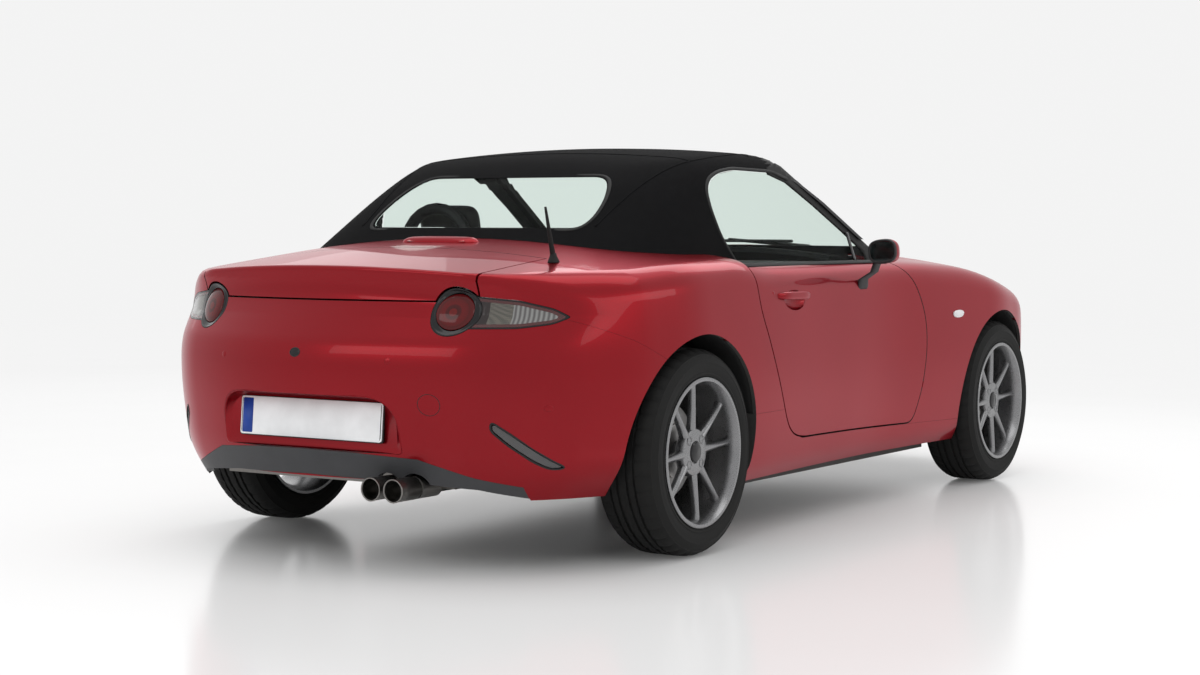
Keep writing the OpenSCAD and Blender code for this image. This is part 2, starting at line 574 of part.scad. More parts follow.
// ---- soft top ----
top_xs = [-1176, -1164, -1140, -1105, -1060, -1010, -955, -900, -845, -790, -730, -660, -580, -480, -370,
    -260, -160, -80, -20, 30];
top_angles = [3, 10, 17, 24, 32, 40, 50, 62, 76, 90, 104, 118, 130, 140, 148, 156, 163, 170, 177];
window_outline = [[-398, 968], [-418, 1000], [-405, 1060], [-372, 1108], [-330, 1128], [330, 1128], [372, 1108],
    [405, 1060], [418, 1000], [398, 968]];
module top_slab(out, wall) {
    rows = across(top_xs, top_angles, 800, 1);
    dirs = across_dirs(top_xs, top_angles);
    slab(pull(rows, dirs, -out), pull(rows, dirs, wall), true);
}
module soft_top() {
    zs = [800, 900, 1000, 1100, 1180, 1240, 1300];
    ys = [for (y = [-720:60:720]) y];
    behind_screen = [for (z = zs) [for (y = ys) [screen_x(y, z) - 34 - 4 * rest, y, z]]];
    color("black") shell() difference() {
        top_slab(0, cloth_wall);
        both_sides() quarter_slab(rest, 90);
        slab([for (r = behind_screen) [for (p = r) p + [900, 0, 0]]], behind_screen, true);
        through_x(-1400, -650) offset(delta = rest) polygon(window_outline);
        through_y() union() {
            offset(delta = 6) polygon(glass_outline);
            translate([-17, 0]) polygon(glass_outline);
            polygon([[-780, 700], [-780, belt + 12], [-640, belt + 12], [-560, 900], [600, 900], [600, 700]]);
            polygon([[-240, 1156], [-120, 1200], [500, 1200], [500, 850], [-100, 850]]);
        }
        translate([-1300, -800, 700]) cube([1500, 1600, 150]);
    }
}
module rear_window() {
    color("lightblue") shell() intersection() {
        difference() { top_slab(-3, 3 + glass_wall); }
        through_x(-1400, -650) polygon(window_outline);
    }
}

// ---- cabin ----
seat_y = 365;
floor_z = 150;
module cushion(size, r) {
    hull() for (x = [r, size[0] - r], y = [r - size[1] / 2, size[1] / 2 - r], z = [r, size[2] - r]) translate([x, y, z]) sphere(r, $fn = 12);
}
module seats() {
    color("dimgray") for (s = [1, -1]) translate([0, s * seat_y, 0]) {
        translate([-470, 0, 268]) rotate([0, -10, 0]) cushion([520, seat_width, 130], 45);
        translate([-560, 0, 300]) rotate([0, -20, 0]) cushion([120, seat_width - 30, 560], 45);
        translate([-713, 0, 843]) rotate([0, -14, 0]) cushion([90, 260, 175], 38);
        translate([-440, -170, floor_z + 12 + rest]) cube([400, 340, 150]);
    }
}
module roll_hoops() {
    color("black") shell() for (s = [1, -1]) translate([-790, s * seat_y, 0]) {
        translate([0, 0, 900]) rotate([90, 0, 90]) rotate_extrude(angle = 180, $fn = 24) translate([130, 0]) circle(20, $fn = 12);
        for (y = [-130, 130]) translate([0, y, 780 + rest]) cylinder(r = 20, h = 122 - rest, $fn = 12);
    }
}
column_tilt = 24;
tunnel_half = 125;
axle_deck = 650;
boot_front = rear_x - 208;
wheel_at = [150, seat_y, 740];
module dashboard() {
    color("dimgray") difference() {
        union() {
            rotate([90, 0, 0]) translate([0, 0, -620]) linear_extrude(1240)
                polygon([[600 - rest, 600], [600 - rest, 790], [440, 838], [330, 850], [292, 828], [286, 780], [330, 640], [380, 600]]);
            translate([-380, -105, 395 + rest]) cube([760, 210, 110]);
            translate([300, -105, 450]) cube([150, 210, 200]);
            translate([-60, 0, 500]) cylinder(r = 10, h = 90);
            translate([-60, 0, 600]) sphere(24);
        }
        translate(wheel_at) rotate([0, 90 + column_tilt, 0]) cylinder(r = 20 + rest, h = 500);
    }
}
module steering_wheel() {
    color("black") translate(wheel_at) rotate([0, -90 + column_tilt, 0]) {
        rotate_extrude() translate([steering_radius - 16, 0]) circle(15, $fn = 32);
        translate([0, 0, -30]) cylinder(r = 55, h = 34);
        for (a = [0, 90, 270]) rotate([0, 0, a - 90]) translate([0, -16, -8]) cube([steering_radius - 18, 32, 14]);
        translate([0, 0, -260]) cylinder(r = 20, h = 240);
    }
}
module antenna() {
    color("black") translate([rear_x - 348, -550, body_top(rear_x - 348, 550) + rest + 2]) {
        cylinder(r1 = 14, r2 = 10, h = 12);
        translate([0, 0, 8]) rotate([0, -14, 0]) cylinder(r1 = 6, r2 = 2.5, h = 150);
    }
}

// ---- wheels: made lying on their axle, outer side up ----
module at_wheel(front, left, spin = false) {
    track = front ? front_track : rear_track;
    translate([arch_x(front), (left ? 1 : -1) * track / 2, axle_z]) rotate([left ? -90 : 90, 0, 0]) children();
}
module tyre(front, left) {
    h = tyre_width / 2;
    color("black") at_wheel(front, left) rotate_extrude() polygon([[bead_radius, -h + 12], [bead_radius + 10, -h + 5],
        [bead_radius + 45, -h], [tyre_radius - 30, -h + 6], [tyre_radius - 8, -h + 22], [tyre_radius, -h + 45],
        [tyre_radius, h - 45], [tyre_radius - 8, h - 22], [tyre_radius - 30, h - 6], [bead_radius + 45, h],
        [bead_radius + 10, h - 5], [bead_radius, h - 12]]);
}
hub_face = 45;
module rim(front, left) {
    h = tyre_width / 2;
    b = bead_radius - rest;
    color("slategray") at_wheel(front, left) difference() {
        union() {
            rotate_extrude() polygon([[b, 10 - h], [b + 7, 6 - h], [b + 7, -h], [b - 2, -h], [b - 8, 12 - h], [b - 16, 30 - h],
                [b - 16, h - 26], [b - 10, h - 12], [b - 4, h], [b + 7, h], [b + 7, h - 6], [b, h - 10],
                [b, h - 24], [b - 9, h - 34], [b - 9, 40 - h], [b, 24 - h]]);
            for (k = [0:7]) rotate([0, 0, 45 * k + (k % 2 == 0 ? 4 : -4)]) translate([0, 0, hub_face]) linear_extrude(30)
                polygon([[40, -15], [b - 12, -8], [b - 12, 8], [40, 15]]);
            translate([0, 0, hub_face - 4]) cylinder(r = bolt_pitch + 22, h = 30);
            translate([0, 0, -20]) cylinder(r = 62, h = hub_face + 21);
            translate([0, 0, -42]) cylinder(r = disc_radius, h = 22);
        }
        translate([0, 0, -60]) cylinder(r = hub_bore, h = 60 + hub_face + 10);
        for (k = [0:3]) rotate([0, 0, 90 * k + 45]) translate([bolt_pitch, 0, hub_face + 6]) cylinder(r = bolt_hole, h = 40);
    }
}
// stub axle, caliper and bearing plate in the wheel's own frame
module hub_carrier(plate) {
    translate([0, 0, -42 - run_gap - 24]) cylinder(r = 62, h = 24);
    translate([0, 0, -70]) cylinder(r = hub_bore - rest, h = 60 + hub_face + 10);
    difference() {
        translate([-disc_radius - 26, -62, -42 - run_gap - 24]) cube([80, 124, 22 + 2 * run_gap + 48]);
        translate([0, 0, -42 - run_gap]) cylinder(r = disc_radius + run_gap, h = 22 + 2 * run_gap);
        translate([0, 0, -200]) cylinder(r = plate, h = 400);
    }
    translate([-90, -40, -42 - run_gap - 24]) cube([60, 80, 20]);
}
ball = 12;
low_z = axle_z - 145;
high_z = axle_z + 145;
arm_z = axle_z - 58;
arm_x = 120;
module knuckle(left) {
    s = left ? 1 : -1;
    k = front_track / 2 - kingpin_inset;
    color("gray") {
        union() {
            at_wheel(true, left) mirror([1, 0, 0]) hub_carrier(70);
            translate([front_x - 22, s > 0 ? k - 12 : -k - 12, low_z]) cube([44, 24, high_z - low_z]);
            translate([front_x, s * k, low_z - 20]) cylinder(r = ball, h = 32);
            translate([front_x, s * k, high_z - 12]) cylinder(r = ball, h = 30);
            translate([front_x - arm_x, s > 0 ? k - 20 : -k, arm_z - 8]) cube([arm_x, 20, 16]);
            translate([front_x - arm_x, s * (k - 10), arm_z - 14]) cylinder(r = 11, h = 28);
        }
    }
}
module steering_rack() {
    k = front_track / 2 - kingpin_inset - 10 - 11 - run_gap - 2;
    color("silver") translate([front_x - arm_x, 0, arm_z]) rotate([90, 0, 0]) {
        cylinder(r = 12, h = 2 * k, center = true);
    }
}

// ---- running gear fixed to the body ----
module front_subframe() {
    k = front_track / 2 - kingpin_inset;
    color("dimgray") difference() {
        union() {
            translate([front_x - 60, -400, 200]) cube([150, 800, 60]);
            translate([front_x - arm_x - 30, -240, arm_z - 30]) cube([100, 480, 60]);
            both_sides() {
                translate([front_x - 20, 380, low_z - 22]) cube([40, k - 380, 22 - rest]);
                translate([front_x, k, low_z - 22]) cylinder(r = 22, h = 22 - rest);
                translate([front_x - 60, 380, low_z - 22]) cube([120, 30, 120]);
                translate([front_x - 18, 420, high_z + rest]) cube([36, k - 420, 17]);
                translate([front_x, k, high_z + rest]) cylinder(r = 20, h = 17);
                translate([front_x - 40, 400, high_z - 40]) cube([80, 30, 80]);
                translate([front_x - 40, 400, 200]) cube([80, 30, high_z - 220]);
                translate([front_x + 46, 540, low_z + 10]) cylinder(r = 16, h = 330);
                translate([front_x + 46, 540, low_z + 330]) cylinder(r = 42, h = 155);
                translate([front_x + 10, 525, low_z - 22]) cube([50, 30, 42]);
                translate([front_x + 6, 430, 560]) cube([80, 110, 12]);
                translate([front_x - 30, 400, high_z + 30]) cube([60, well_in - 12 - 400 - rest, 119]);
            }
        }
        translate([front_x - arm_x, 0, arm_z]) rotate([90, 0, 0]) cylinder(r = 12 + rest, h = 1200, center = true);
        both_sides() translate([front_x, k, 0]) cylinder(r = ball + rest, h = 1000);
    }
}
module rear_subframe() {
    k = rear_track / 2 - 90;
    color("dimgray") {
        difference() {
            translate([rear_x - 200, -420, 200]) cube([400, 840, 40]);
            translate([rear_x - 120, -150, 190]) cube([240, 300, 60]);
        }
        for (s = [0, 1]) {
            at_wheel(false, s == 0) hub_carrier(70);
            mirror([0, s, 0]) {
                translate([rear_x - 30, k, axle_z - 130]) cube([60, 24, 270]);
                translate([rear_x - 22, 380, axle_z - 130]) cube([44, k - 379, 24]);
                translate([rear_x - 20, 420, axle_z + 110]) cube([40, k - 419, 18]);
                translate([rear_x - 40, 390, 200]) cube([80, 32, axle_z + 128 - 200]);
                translate([rear_x + 60, 500, axle_z - 130]) cylinder(r = 18, h = 330);
                translate([rear_x + 60, 500, axle_z + 140]) cylinder(r = 42, h = 180);
                translate([rear_x + 10, 480, axle_z - 130]) cube([66, 40, 22]);
                translate([rear_x - 120, 380, 210]) cube([60, 40, axle_deck - 210 - rest]);
            }
        }
    }
}
module drivetrain() {
    color("silver") {
        translate([690, -210, 330]) cube([460, 420, 370]);
        translate([250, -95, 215]) cube([441, 190, 160]);
        translate([rear_x + 129, 0, 300]) rotate([0, 90, 0]) cylinder(r = 36, h = 250 - rear_x - 128);
        translate([rear_x - 110, -130, 240 + rest]) cube([240, 260, 130]);
    }
}
tip_ys = [-262, -340];
tip_z = 244;
pipe_z = 165;
module exhaust() {
    color("silver") difference() {
        union() {
            translate([-1760, -420, 236]) cube([240, 840, 104]);
            for (y = tip_ys) translate([-1845, y, tip_z]) rotate([0, 90, 0]) cylinder(r = tip_radius, h = 90);
            hull() {
                translate([-1500, 150, 290]) sphere(26, $fn = 16);
                translate([-1420, 60, pipe_z]) sphere(26, $fn = 16);
            }
            translate([-1420, 60, pipe_z]) rotate([0, 90, 0]) cylinder(r = 26, h = 2060);
            translate([-1521, 150, 290]) rotate([0, 90, 0]) cylinder(r = 26, h = 21);
            for (y = [-390, 370]) translate([-1650, y, 339]) cube([30, 20, 41 - rest]);
        }
        for (y = tip_ys) translate([-1846, y, tip_z]) rotate([0, 90, 0]) cylinder(r = tip_radius - 4, h = 60);
    }
}

// ---- floor, bulkheads, wheel housings and boot floor ----
well_in = 470;
module floor_pan() {
    cabin_front = 600;
    cabin_back = -860;
    color(trim) difference() {
        union() {
            translate([rear_x + 372, -680, floor_z]) cube([cabin_front - rear_x - 352, 1360, 12]);
            translate([cabin_back, -610, floor_z]) cube([300, 1220, 12]);
            for (s = [0, 1]) mirror([0, s, 0]) {
                translate([rear_x + 325, 600, floor_z]) cube([front_x - 355 - rear_x - 325, 80, 210]);
                translate([rear_x + 325, 680 - 0.01, 195]) cube([60, 10, 150]);
                translate([front_x - 415, 680 - 0.01, 195]) cube([60, 10, 50]);
                translate([cabin_front, well_in - 12, 300]) cube([front_x + 420 - cabin_front, 12, 340]);
                translate([front_x + 380, 370, 300]) cube([60, 100, 300]);
                translate([1590, 380, 590]) cylinder(r = 4, h = body_top(1590, 380) - lid_wall - 1.3 - rest - 590);
                wheel_well(true, well_in, 480);
                wheel_well(false, 620, 600);
                translate([rear_x - 420, 608, 360]) cube([800, 12, 400]);
                translate([-1700, 460, 380]) cube([boot_front + 1700, 12, 270]);
                translate([rear_x - 430, 460, 380]) cube([12, 155, 300]);
            }
            translate([cabin_front, -600, floor_z]) cube([20, 1200, 680]);
            translate([cabin_back, -615, floor_z]) cube([12, 1230, 610]);
            translate([cabin_back - 250, -615, 760]) cube([345, 1230, 20]);
            translate([cabin_back, -tunnel_half, floor_z]) cube([cabin_front - cabin_back, 2 * tunnel_half, 245]);
            translate([-1700, -470, 380]) cube([boot_front + 1700, 940, 10]);
            translate([boot_front - 10, -615, 380]) cube([10, 1230, axle_deck - 380]);
            translate([boot_front - 10, -615, axle_deck]) cube([cabin_back - boot_front + 15, 1230, 10]);
            translate([-1700, -470, 380]) cube([10, 940, 300]);
        }
        translate([cabin_back - 1, 12 - tunnel_half, floor_z - 1]) cube([cabin_front - cabin_back + 30, 2 * tunnel_half - 24, 236]);
        for (s = [0, 1]) mirror([0, s, 0]) {
            translate([front_x - 50, well_in - 30, high_z - 45]) cube([146, 60, 170]);
            translate([rear_x - 40, 590, high_z - 50]) cube([80, 60, 60]);
        }
    }
}
module wheel_well(front, inner, wide) {
    r = arch_radius + 10;
    translate([arch_x(front), 0, axle_z]) rotate([-90, 0, 0]) difference() {
        translate([0, 0, inner - 12]) cylinder(r = r + 8, h = 780 - inner);
        translate([0, 0, inner]) cylinder(r = r, h = 900);
        translate([-1000, 20, -10]) cube([2000, 1000, 1000]);
    }
}

floor_pan();
front_subframe();
rear_subframe();
drivetrain();
exhaust();
front_fenders();
rear_quarters();
sills();
front_bumper();
rear_bumper();
rear_valance();
grille();
headlamps();
tail_lamps();
marker_lamps();
number_plate();
windscreen_frame();
windscreen();
wipers();
soft_top();
rear_window();
seats();
roll_hoops();
dashboard();
antenna();
bonnet();
boot_lid();
door(true);  // door_left
door(false);  // door_right
door_glass(true);  // door_glass_left
door_glass(false);  // door_glass_right
door_mirror(true);  // mirror_left
door_mirror(false);  // mirror_right
steering_wheel();
steering_rack();
knuckle(true);  // knuckle_left
knuckle(false);  // knuckle_right
rim(true, true);  // rim_front_left
rim(true, false);  // rim_front_right
rim(false, true);  // rim_rear_left
rim(false, false);  // rim_rear_right
tyre(true, true);  // tyre_front_left
tyre(true, false);  // tyre_front_right
tyre(false, true);  // tyre_rear_left
tyre(false, false);  // tyre_rear_right
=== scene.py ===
import math

import bmesh
import bpy
import numpy as np
from mathutils import Matrix, Vector


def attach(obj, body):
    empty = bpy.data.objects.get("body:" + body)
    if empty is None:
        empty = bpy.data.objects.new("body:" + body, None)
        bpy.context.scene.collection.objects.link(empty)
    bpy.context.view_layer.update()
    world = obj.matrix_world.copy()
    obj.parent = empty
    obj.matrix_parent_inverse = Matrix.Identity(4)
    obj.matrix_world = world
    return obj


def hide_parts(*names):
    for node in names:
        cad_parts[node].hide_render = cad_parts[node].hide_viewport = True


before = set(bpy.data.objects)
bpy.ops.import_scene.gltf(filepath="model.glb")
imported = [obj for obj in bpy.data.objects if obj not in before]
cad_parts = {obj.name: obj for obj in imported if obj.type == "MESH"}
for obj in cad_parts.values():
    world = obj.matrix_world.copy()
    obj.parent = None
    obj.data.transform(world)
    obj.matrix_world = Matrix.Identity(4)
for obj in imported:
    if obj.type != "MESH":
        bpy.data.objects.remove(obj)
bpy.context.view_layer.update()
mm = 0.001
print("frame loaded")

# sizes shared by all pieces, in millimetres
car = dict(nose=1957.5, half=866, frontAxle=1197.5, rearAxle=-1112.5, axleHeight=308, archRadius=350,
           frontTrack=1495, rearTrack=1505, panelWall=12, lidWall=22, shutGap=5, seam=0.6, belt=848)
nose, half, frontAxle, rearAxle = car["nose"], car["half"], car["frontAxle"], car["rearAxle"]


# the outside of the body and of the soft top, each where a function of place is zero
def softCorner(t, radius):
    u = (np.clip(t, -radius, radius) + radius) / (2 * radius)
    return np.where(t > radius, t, 2 * radius * u ** 3 * (1 - u / 2))


class Profile:  # straight runs joined by rounded corners, each [place, value, corner radius]
    def __init__(self, *points):
        self.first = points[0]
        slopes = [(b[1] - a[1]) / (b[0] - a[0]) for a, b in zip(points, points[1:])]
        self.slope = slopes[0]
        self.bends = [(p[0], b - a, p[2]) for p, a, b in zip(points[1:-1], slopes, slopes[1:])]

    def __call__(self, t):
        value = self.first[1] + self.slope * (t - self.first[0])
        for place, turn, radius in self.bends:
            value = value + turn * softCorner(t - place, radius)
        return value


planLine = Profile((-nose, half - 346), (rearAxle - 488, half - 124, 90), (rearAxle - 318, half - 40, 90),
                   (rearAxle - 68, half, 130), (rearAxle + 392, half - 16, 160), (-250, half - 42, 250),
                   (250, half - 54, 250), (frontAxle - 498, half - 28, 160), (frontAxle - 18, half, 130),
                   (frontAxle + 282, half - 40, 120), (frontAxle + 562, half - 176, 150), (nose, half - 346))
middleLine = Profile((-nose - 33, 836), (-nose + 102, 860, 60), (rearAxle - 388, 901, 150),
                     (rearAxle - 8, 941, 150),
                     (rearAxle + 312, 944, 100), (-640, 922, 90), (-300, 914, 150), (600, 910, 150),
                     (1000, 893, 200), (1400, 815, 200), (1750, 716, 150), (nose + 33, 600))
tailLine = Profile((150, 117), (260, 64, 40), (340, 35, 40), (520, 0, 80), (600, 0, 40), (648, 15, 22),
                   (766, 105, 20), (800, 111, 30), (900, 91))
noseLine = Profile((120, -107), (200, -42, 50), (330, -12, 60), (480, 0, 60), (560, -7, 50), (700, -77))
roofLine = Profile((-1330, 842), (-1170, 946, 30), (-905, 1122, 70), (-700, 1208, 140), (-420, 1240, 150),
                   (-120, 1236, 130), (60, 1182, 60), (420, 905))


def share(v):
    return np.clip(v, 0, 1)


def softMax(a, b, radius):
    u, v = np.maximum(a + radius, 0), np.maximum(b + radius, 0)
    return np.minimum(np.maximum(a, b), -radius) + (u ** 2.5 + v ** 2.5) ** 0.4


def bodyHalf(x, z):
    tail = share((rearAxle - 38 - x) / 150)
    return (planLine(x) - 3e-4 * (z - 560) ** 2 - 0.45 * softCorner(225 - z, 40) * (1 - tail)
            - 0.62 * softCorner(300 - z, 60) * tail
            - 0.22 * softCorner(z - 640, 60) * share((rearAxle - 288 - x) / 300))


def bodyTop(x, y):
    return middleLine(x) - 1.15e-4 * y * y


def bodySkin(p):
    x, y, z = p[..., 0], np.abs(p[..., 1]), p[..., 2]
    side = y - bodyHalf(x, z)
    lip = np.maximum(share((y - 470) / 170), share((x + nose - 237) / 200))
    tail = tailLine(z) - nose - x + (4.6e-4 - 1.8e-4 * share((z - 720) / 100)) * y * y
    front = x - nose - noseLine(z) + 4.6e-4 * y * y
    return softMax(softMax(side, np.where(x < 0, tail, front), 120), z - bodyTop(x, y), 14 + 60 * lip)


def cabinHalf(z):
    return 702 - 0.30 * (z - 860) - 1.5e-4 * np.maximum(z - 1000, 0) ** 2


def topSkin(p):
    x, y, z = p[..., 0], np.abs(p[..., 1]), p[..., 2]
    back = 1.5 * (z - 944) - 1180 + 4.5e-4 * np.maximum(y - 200, 0) ** 2 - x
    return softMax(softMax(y - cabinHalf(z), back, 300), z - roofLine(x) + 9e-5 * y * y, 80)


def screenX(y, z):
    return 596 - 2.06 * (z - 898) - 4.5e-4 * y * y


def reach(origins, directions, skin=bodySkin):
    origins, directions = np.broadcast_arrays(np.asarray(origins, float), np.asarray(directions, float))
    low, high = np.zeros(origins.shape[:-1]), np.full(origins.shape[:-1], 1400.0)
    for _ in range(24):
        middle = (low + high) / 2
        inside = skin(origins + directions * middle[..., None]) < 0
        low, high = np.where(inside, middle, low), np.where(inside, high, middle)
    return origins + directions * low[..., None]


def slope(skin, p):
    step = 0.5
    sides = [skin(p + step * np.eye(3)[k]) - skin(p - step * np.eye(3)[k]) for k in range(3)]
    g = np.stack(sides, -1)
    return g / np.maximum(np.linalg.norm(g, axis=-1, keepdims=True), 1e-9)


def sideY(x, z):
    return float(reach([x, 0, z], [0, 1, 0])[1])


def noseX(y, z):
    return float(reach([1000, y, z], [1, 0, 0])[0])


def newPiece(name, bm, material=None, body="body_shell", stands=(), smooth=True):
    mesh = bpy.data.meshes.new(name)
    bm.to_mesh(mesh)
    bm.free()
    piece = bpy.data.objects.new(name, mesh)
    bpy.context.scene.collection.objects.link(piece)
    for m in material if isinstance(material, (list, tuple)) else [material]:
        if m:
            mesh.materials.append(m)
    mesh.polygons.foreach_set("use_smooth", [smooth] * len(mesh.polygons))
    if body:
        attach(piece, body)
    if stands:
        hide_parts(*stands)
    return piece


def gridOf(points, wall=0.0, outside=None):  # points is an array of rows, in millimetres
    bm = bmesh.new()
    rows, columns = points.shape[:2]
    bmesh.ops.create_grid(bm, x_segments=columns - 1, y_segments=rows - 1, size=1)
    for vert, place in zip(bm.verts, points.reshape(-1, 3)):
        vert.co = Vector(place) * mm
    bm.normal_update()
    if outside is not None:
        bm.faces.ensure_lookup_table()
        face = bm.faces[len(bm.faces) // 2]
        if face.normal.dot(Vector(slope(outside, np.array(face.calc_center_median()) / mm))) < 0:
            bmesh.ops.reverse_faces(bm, faces=bm.faces[:])
    if wall:
        bm.normal_update()
        bmesh.ops.solidify(bm, geom=bm.faces[:], thickness=wall * mm)
    return bm


def loft(rings, closed=(0, -1)):  # rings of points in millimetres, all of one length
    bm = bmesh.new()
    loops = []
    for ring in rings:
        verts = [bm.verts.new(Vector(p) * mm) for p in ring]
        loops.append([bm.edges.new(ends) for ends in zip(verts, verts[1:] + verts[:1])])
    for first, second in zip(loops, loops[1:]):
        bmesh.ops.bridge_loops(bm, edges=first + second)
    for end in closed:
        bmesh.ops.edgeloop_fill(bm, edges=loops[end])
    bmesh.ops.recalc_face_normals(bm, faces=bm.faces[:])
    return bm


def outlineSum(outline):
    return sum(a[0] * b[1] - b[0] * a[1] for a, b in zip(outline, outline[1:] + outline[:1]))


def grow(outline, distance):
    p = np.array(outline if outlineSum(list(outline)) > 0 else list(outline)[::-1], float)
    before, after = p - np.roll(p, 1, 0), np.roll(p, -1, 0) - p
    normals = [np.stack([e[:, 1], -e[:, 0]], 1) / np.linalg.norm(e, axis=1)[:, None] for e in (before, after)]
    mitre = normals[0] + normals[1]
    mitre /= (1 + (normals[0] * normals[1]).sum(1))[:, None]
    return [tuple(q) for q in p + mitre * distance]


def rounded(outline, radius, steps=5):
    result = []
    for k, corner in enumerate(outline):
        size = radius[k] if isinstance(radius, (list, tuple)) else radius
        p, a, b = (np.array(q, float) for q in (corner, outline[k - 1], outline[(k + 1) % len(outline)]))
        if not size:
            result.append(tuple(p))
            continue
        first = p + (a - p) * min(size / np.linalg.norm(a - p), 0.47)
        last = p + (b - p) * min(size / np.linalg.norm(b - p), 0.47)
        for t in np.linspace(0, 1, steps):
            result.append(tuple(first * (1 - t) ** 2 + 2 * p * t * (1 - t) + last * t * t))
    return result


def inset(shape, distance, radius):
    return rounded(grow(shape, -distance), radius)


def flipped(outline):
    return [(-u, v) for u, v in outline][::-1]


def circle(u, v, radius, steps=64):
    return [(u + radius * math.cos(2 * math.pi * k / steps), v + radius * math.sin(2 * math.pi * k / steps))
            for k in range(steps)]


scrap = []


def asCutter(bm):  # a piece that only cuts, thrown away at the end
    tool = newPiece("cutter", bm, body=None)
    scrap.append(tool)
    return tool


def prism(outline, axis, low, high):
    bm = bmesh.new()
    place = {"x": lambda u, v: (low, u, v), "y": lambda u, v: (u, low, v), "z": lambda u,
             v: (u, v, low)}[axis]
    face = bm.faces.new([bm.verts.new(Vector(place(*q)) * mm) for q in outline])
    grown = bmesh.ops.extrude_face_region(bm, geom=[face])
    moved = [g for g in grown["geom"] if isinstance(g, bmesh.types.BMVert)]
    along = Vector([(high - low) * mm * (axis == a) for a in "xyz"])
    bmesh.ops.translate(bm, verts=moved, vec=along)
    bmesh.ops.recalc_face_normals(bm, faces=bm.faces[:])
    return asCutter(bm)


def block(low, high):
    return prism([(low[0], low[1]), (high[0], low[1]), (high[0], high[1]), (low[0], high[1])], "z", low[2],
                 high[2])


def carve(piece, keep=(), remove=()):
    for tools, how in ((keep, "INTERSECT"), (remove, "DIFFERENCE")):
        for tool in tools:
            cut = piece.modifiers.new("cut", "BOOLEAN")
            cut.operation, cut.object, cut.solver = how, tool, "EXACT"
    bpy.context.view_layer.update()
    mesh = bpy.data.meshes.new_from_object(piece.evaluated_get(bpy.context.evaluated_depsgraph_get()))
    piece.modifiers.clear()
    old, piece.data = piece.data, mesh
    mesh.name = piece.name
    bpy.data.meshes.remove(old)
    return piece


def mirrored(piece):  # adds the other side of the car to the same mesh
    bm = bmesh.new()
    bm.from_mesh(piece.data)
    copied = bmesh.ops.duplicate(bm, geom=bm.verts[:] + bm.edges[:] + bm.faces[:])["geom"]
    verts = [g for g in copied if isinstance(g, bmesh.types.BMVert)]
    bmesh.ops.scale(bm, vec=(1, -1, 1), verts=verts)
    bmesh.ops.reverse_faces(bm, faces=[g for g in copied if isinstance(g, bmesh.types.BMFace)])
    bm.to_mesh(piece.data)
    bm.free()
    return piece


def polish(piece, skin=bodySkin, tolerance=0.8):  # shades the outside by the surface itself
    mesh = piece.data
    mesh.polygons.foreach_set("use_smooth", [True] * len(mesh.polygons))
    points = np.empty(len(mesh.vertices) * 3)
    mesh.vertices.foreach_get("co", points)
    points = points.reshape(-1, 3) / mm
    smooth = slope(skin, points)
    onSkin = np.abs(skin(points)) < tolerance
    flat = np.empty(len(mesh.polygons) * 3)
    mesh.polygons.foreach_get("normal", flat)
    counts = np.empty(len(mesh.polygons), int)
    mesh.polygons.foreach_get("loop_total", counts)
    corners = np.empty(len(mesh.loops), int)
    mesh.loops.foreach_get("vertex_index", corners)
    flat = np.repeat(flat.reshape(-1, 3), counts, axis=0)
    if len(mesh.materials) > 1:
        centres = np.empty(len(mesh.polygons) * 3)
        mesh.polygons.foreach_get("center", centres)
        mesh.polygons.foreach_set("material_index", (skin(centres.reshape(-1, 3) / mm) < -6).astype(int))
    use = onSkin[corners] & ((flat * smooth[corners]).sum(1) > 0.6)
    mesh.normals_split_custom_set(np.where(use[:, None], smooth[corners], flat).tolist())
    return piece


class Wire:  # a shader socket that can be used in sums
    def __init__(self, shader, socket):
        self.shader, self.socket = shader, socket

    def sum(self, kind, other, turned=False):
        a, b = (other, self) if turned else (self, other)
        return self.shader.node("ShaderNodeMath", {0: a, 1: b}, operation=kind)

    def __add__(self, other): return self.sum("ADD", other)
    def __radd__(self, other): return self.sum("ADD", other, True)
    def __sub__(self, other): return self.sum("SUBTRACT", other)
    def __rsub__(self, other): return self.sum("SUBTRACT", other, True)
    def __mul__(self, other): return self.sum("MULTIPLY", other)
    def __rmul__(self, other): return self.sum("MULTIPLY", other, True)
    def __truediv__(self, other): return self.sum("DIVIDE", other)
    def __pow__(self, other): return self.sum("POWER", other)
    def __gt__(self, other): return self.sum("GREATER_THAN", other)
    def __lt__(self, other): return self.sum("LESS_THAN", other)


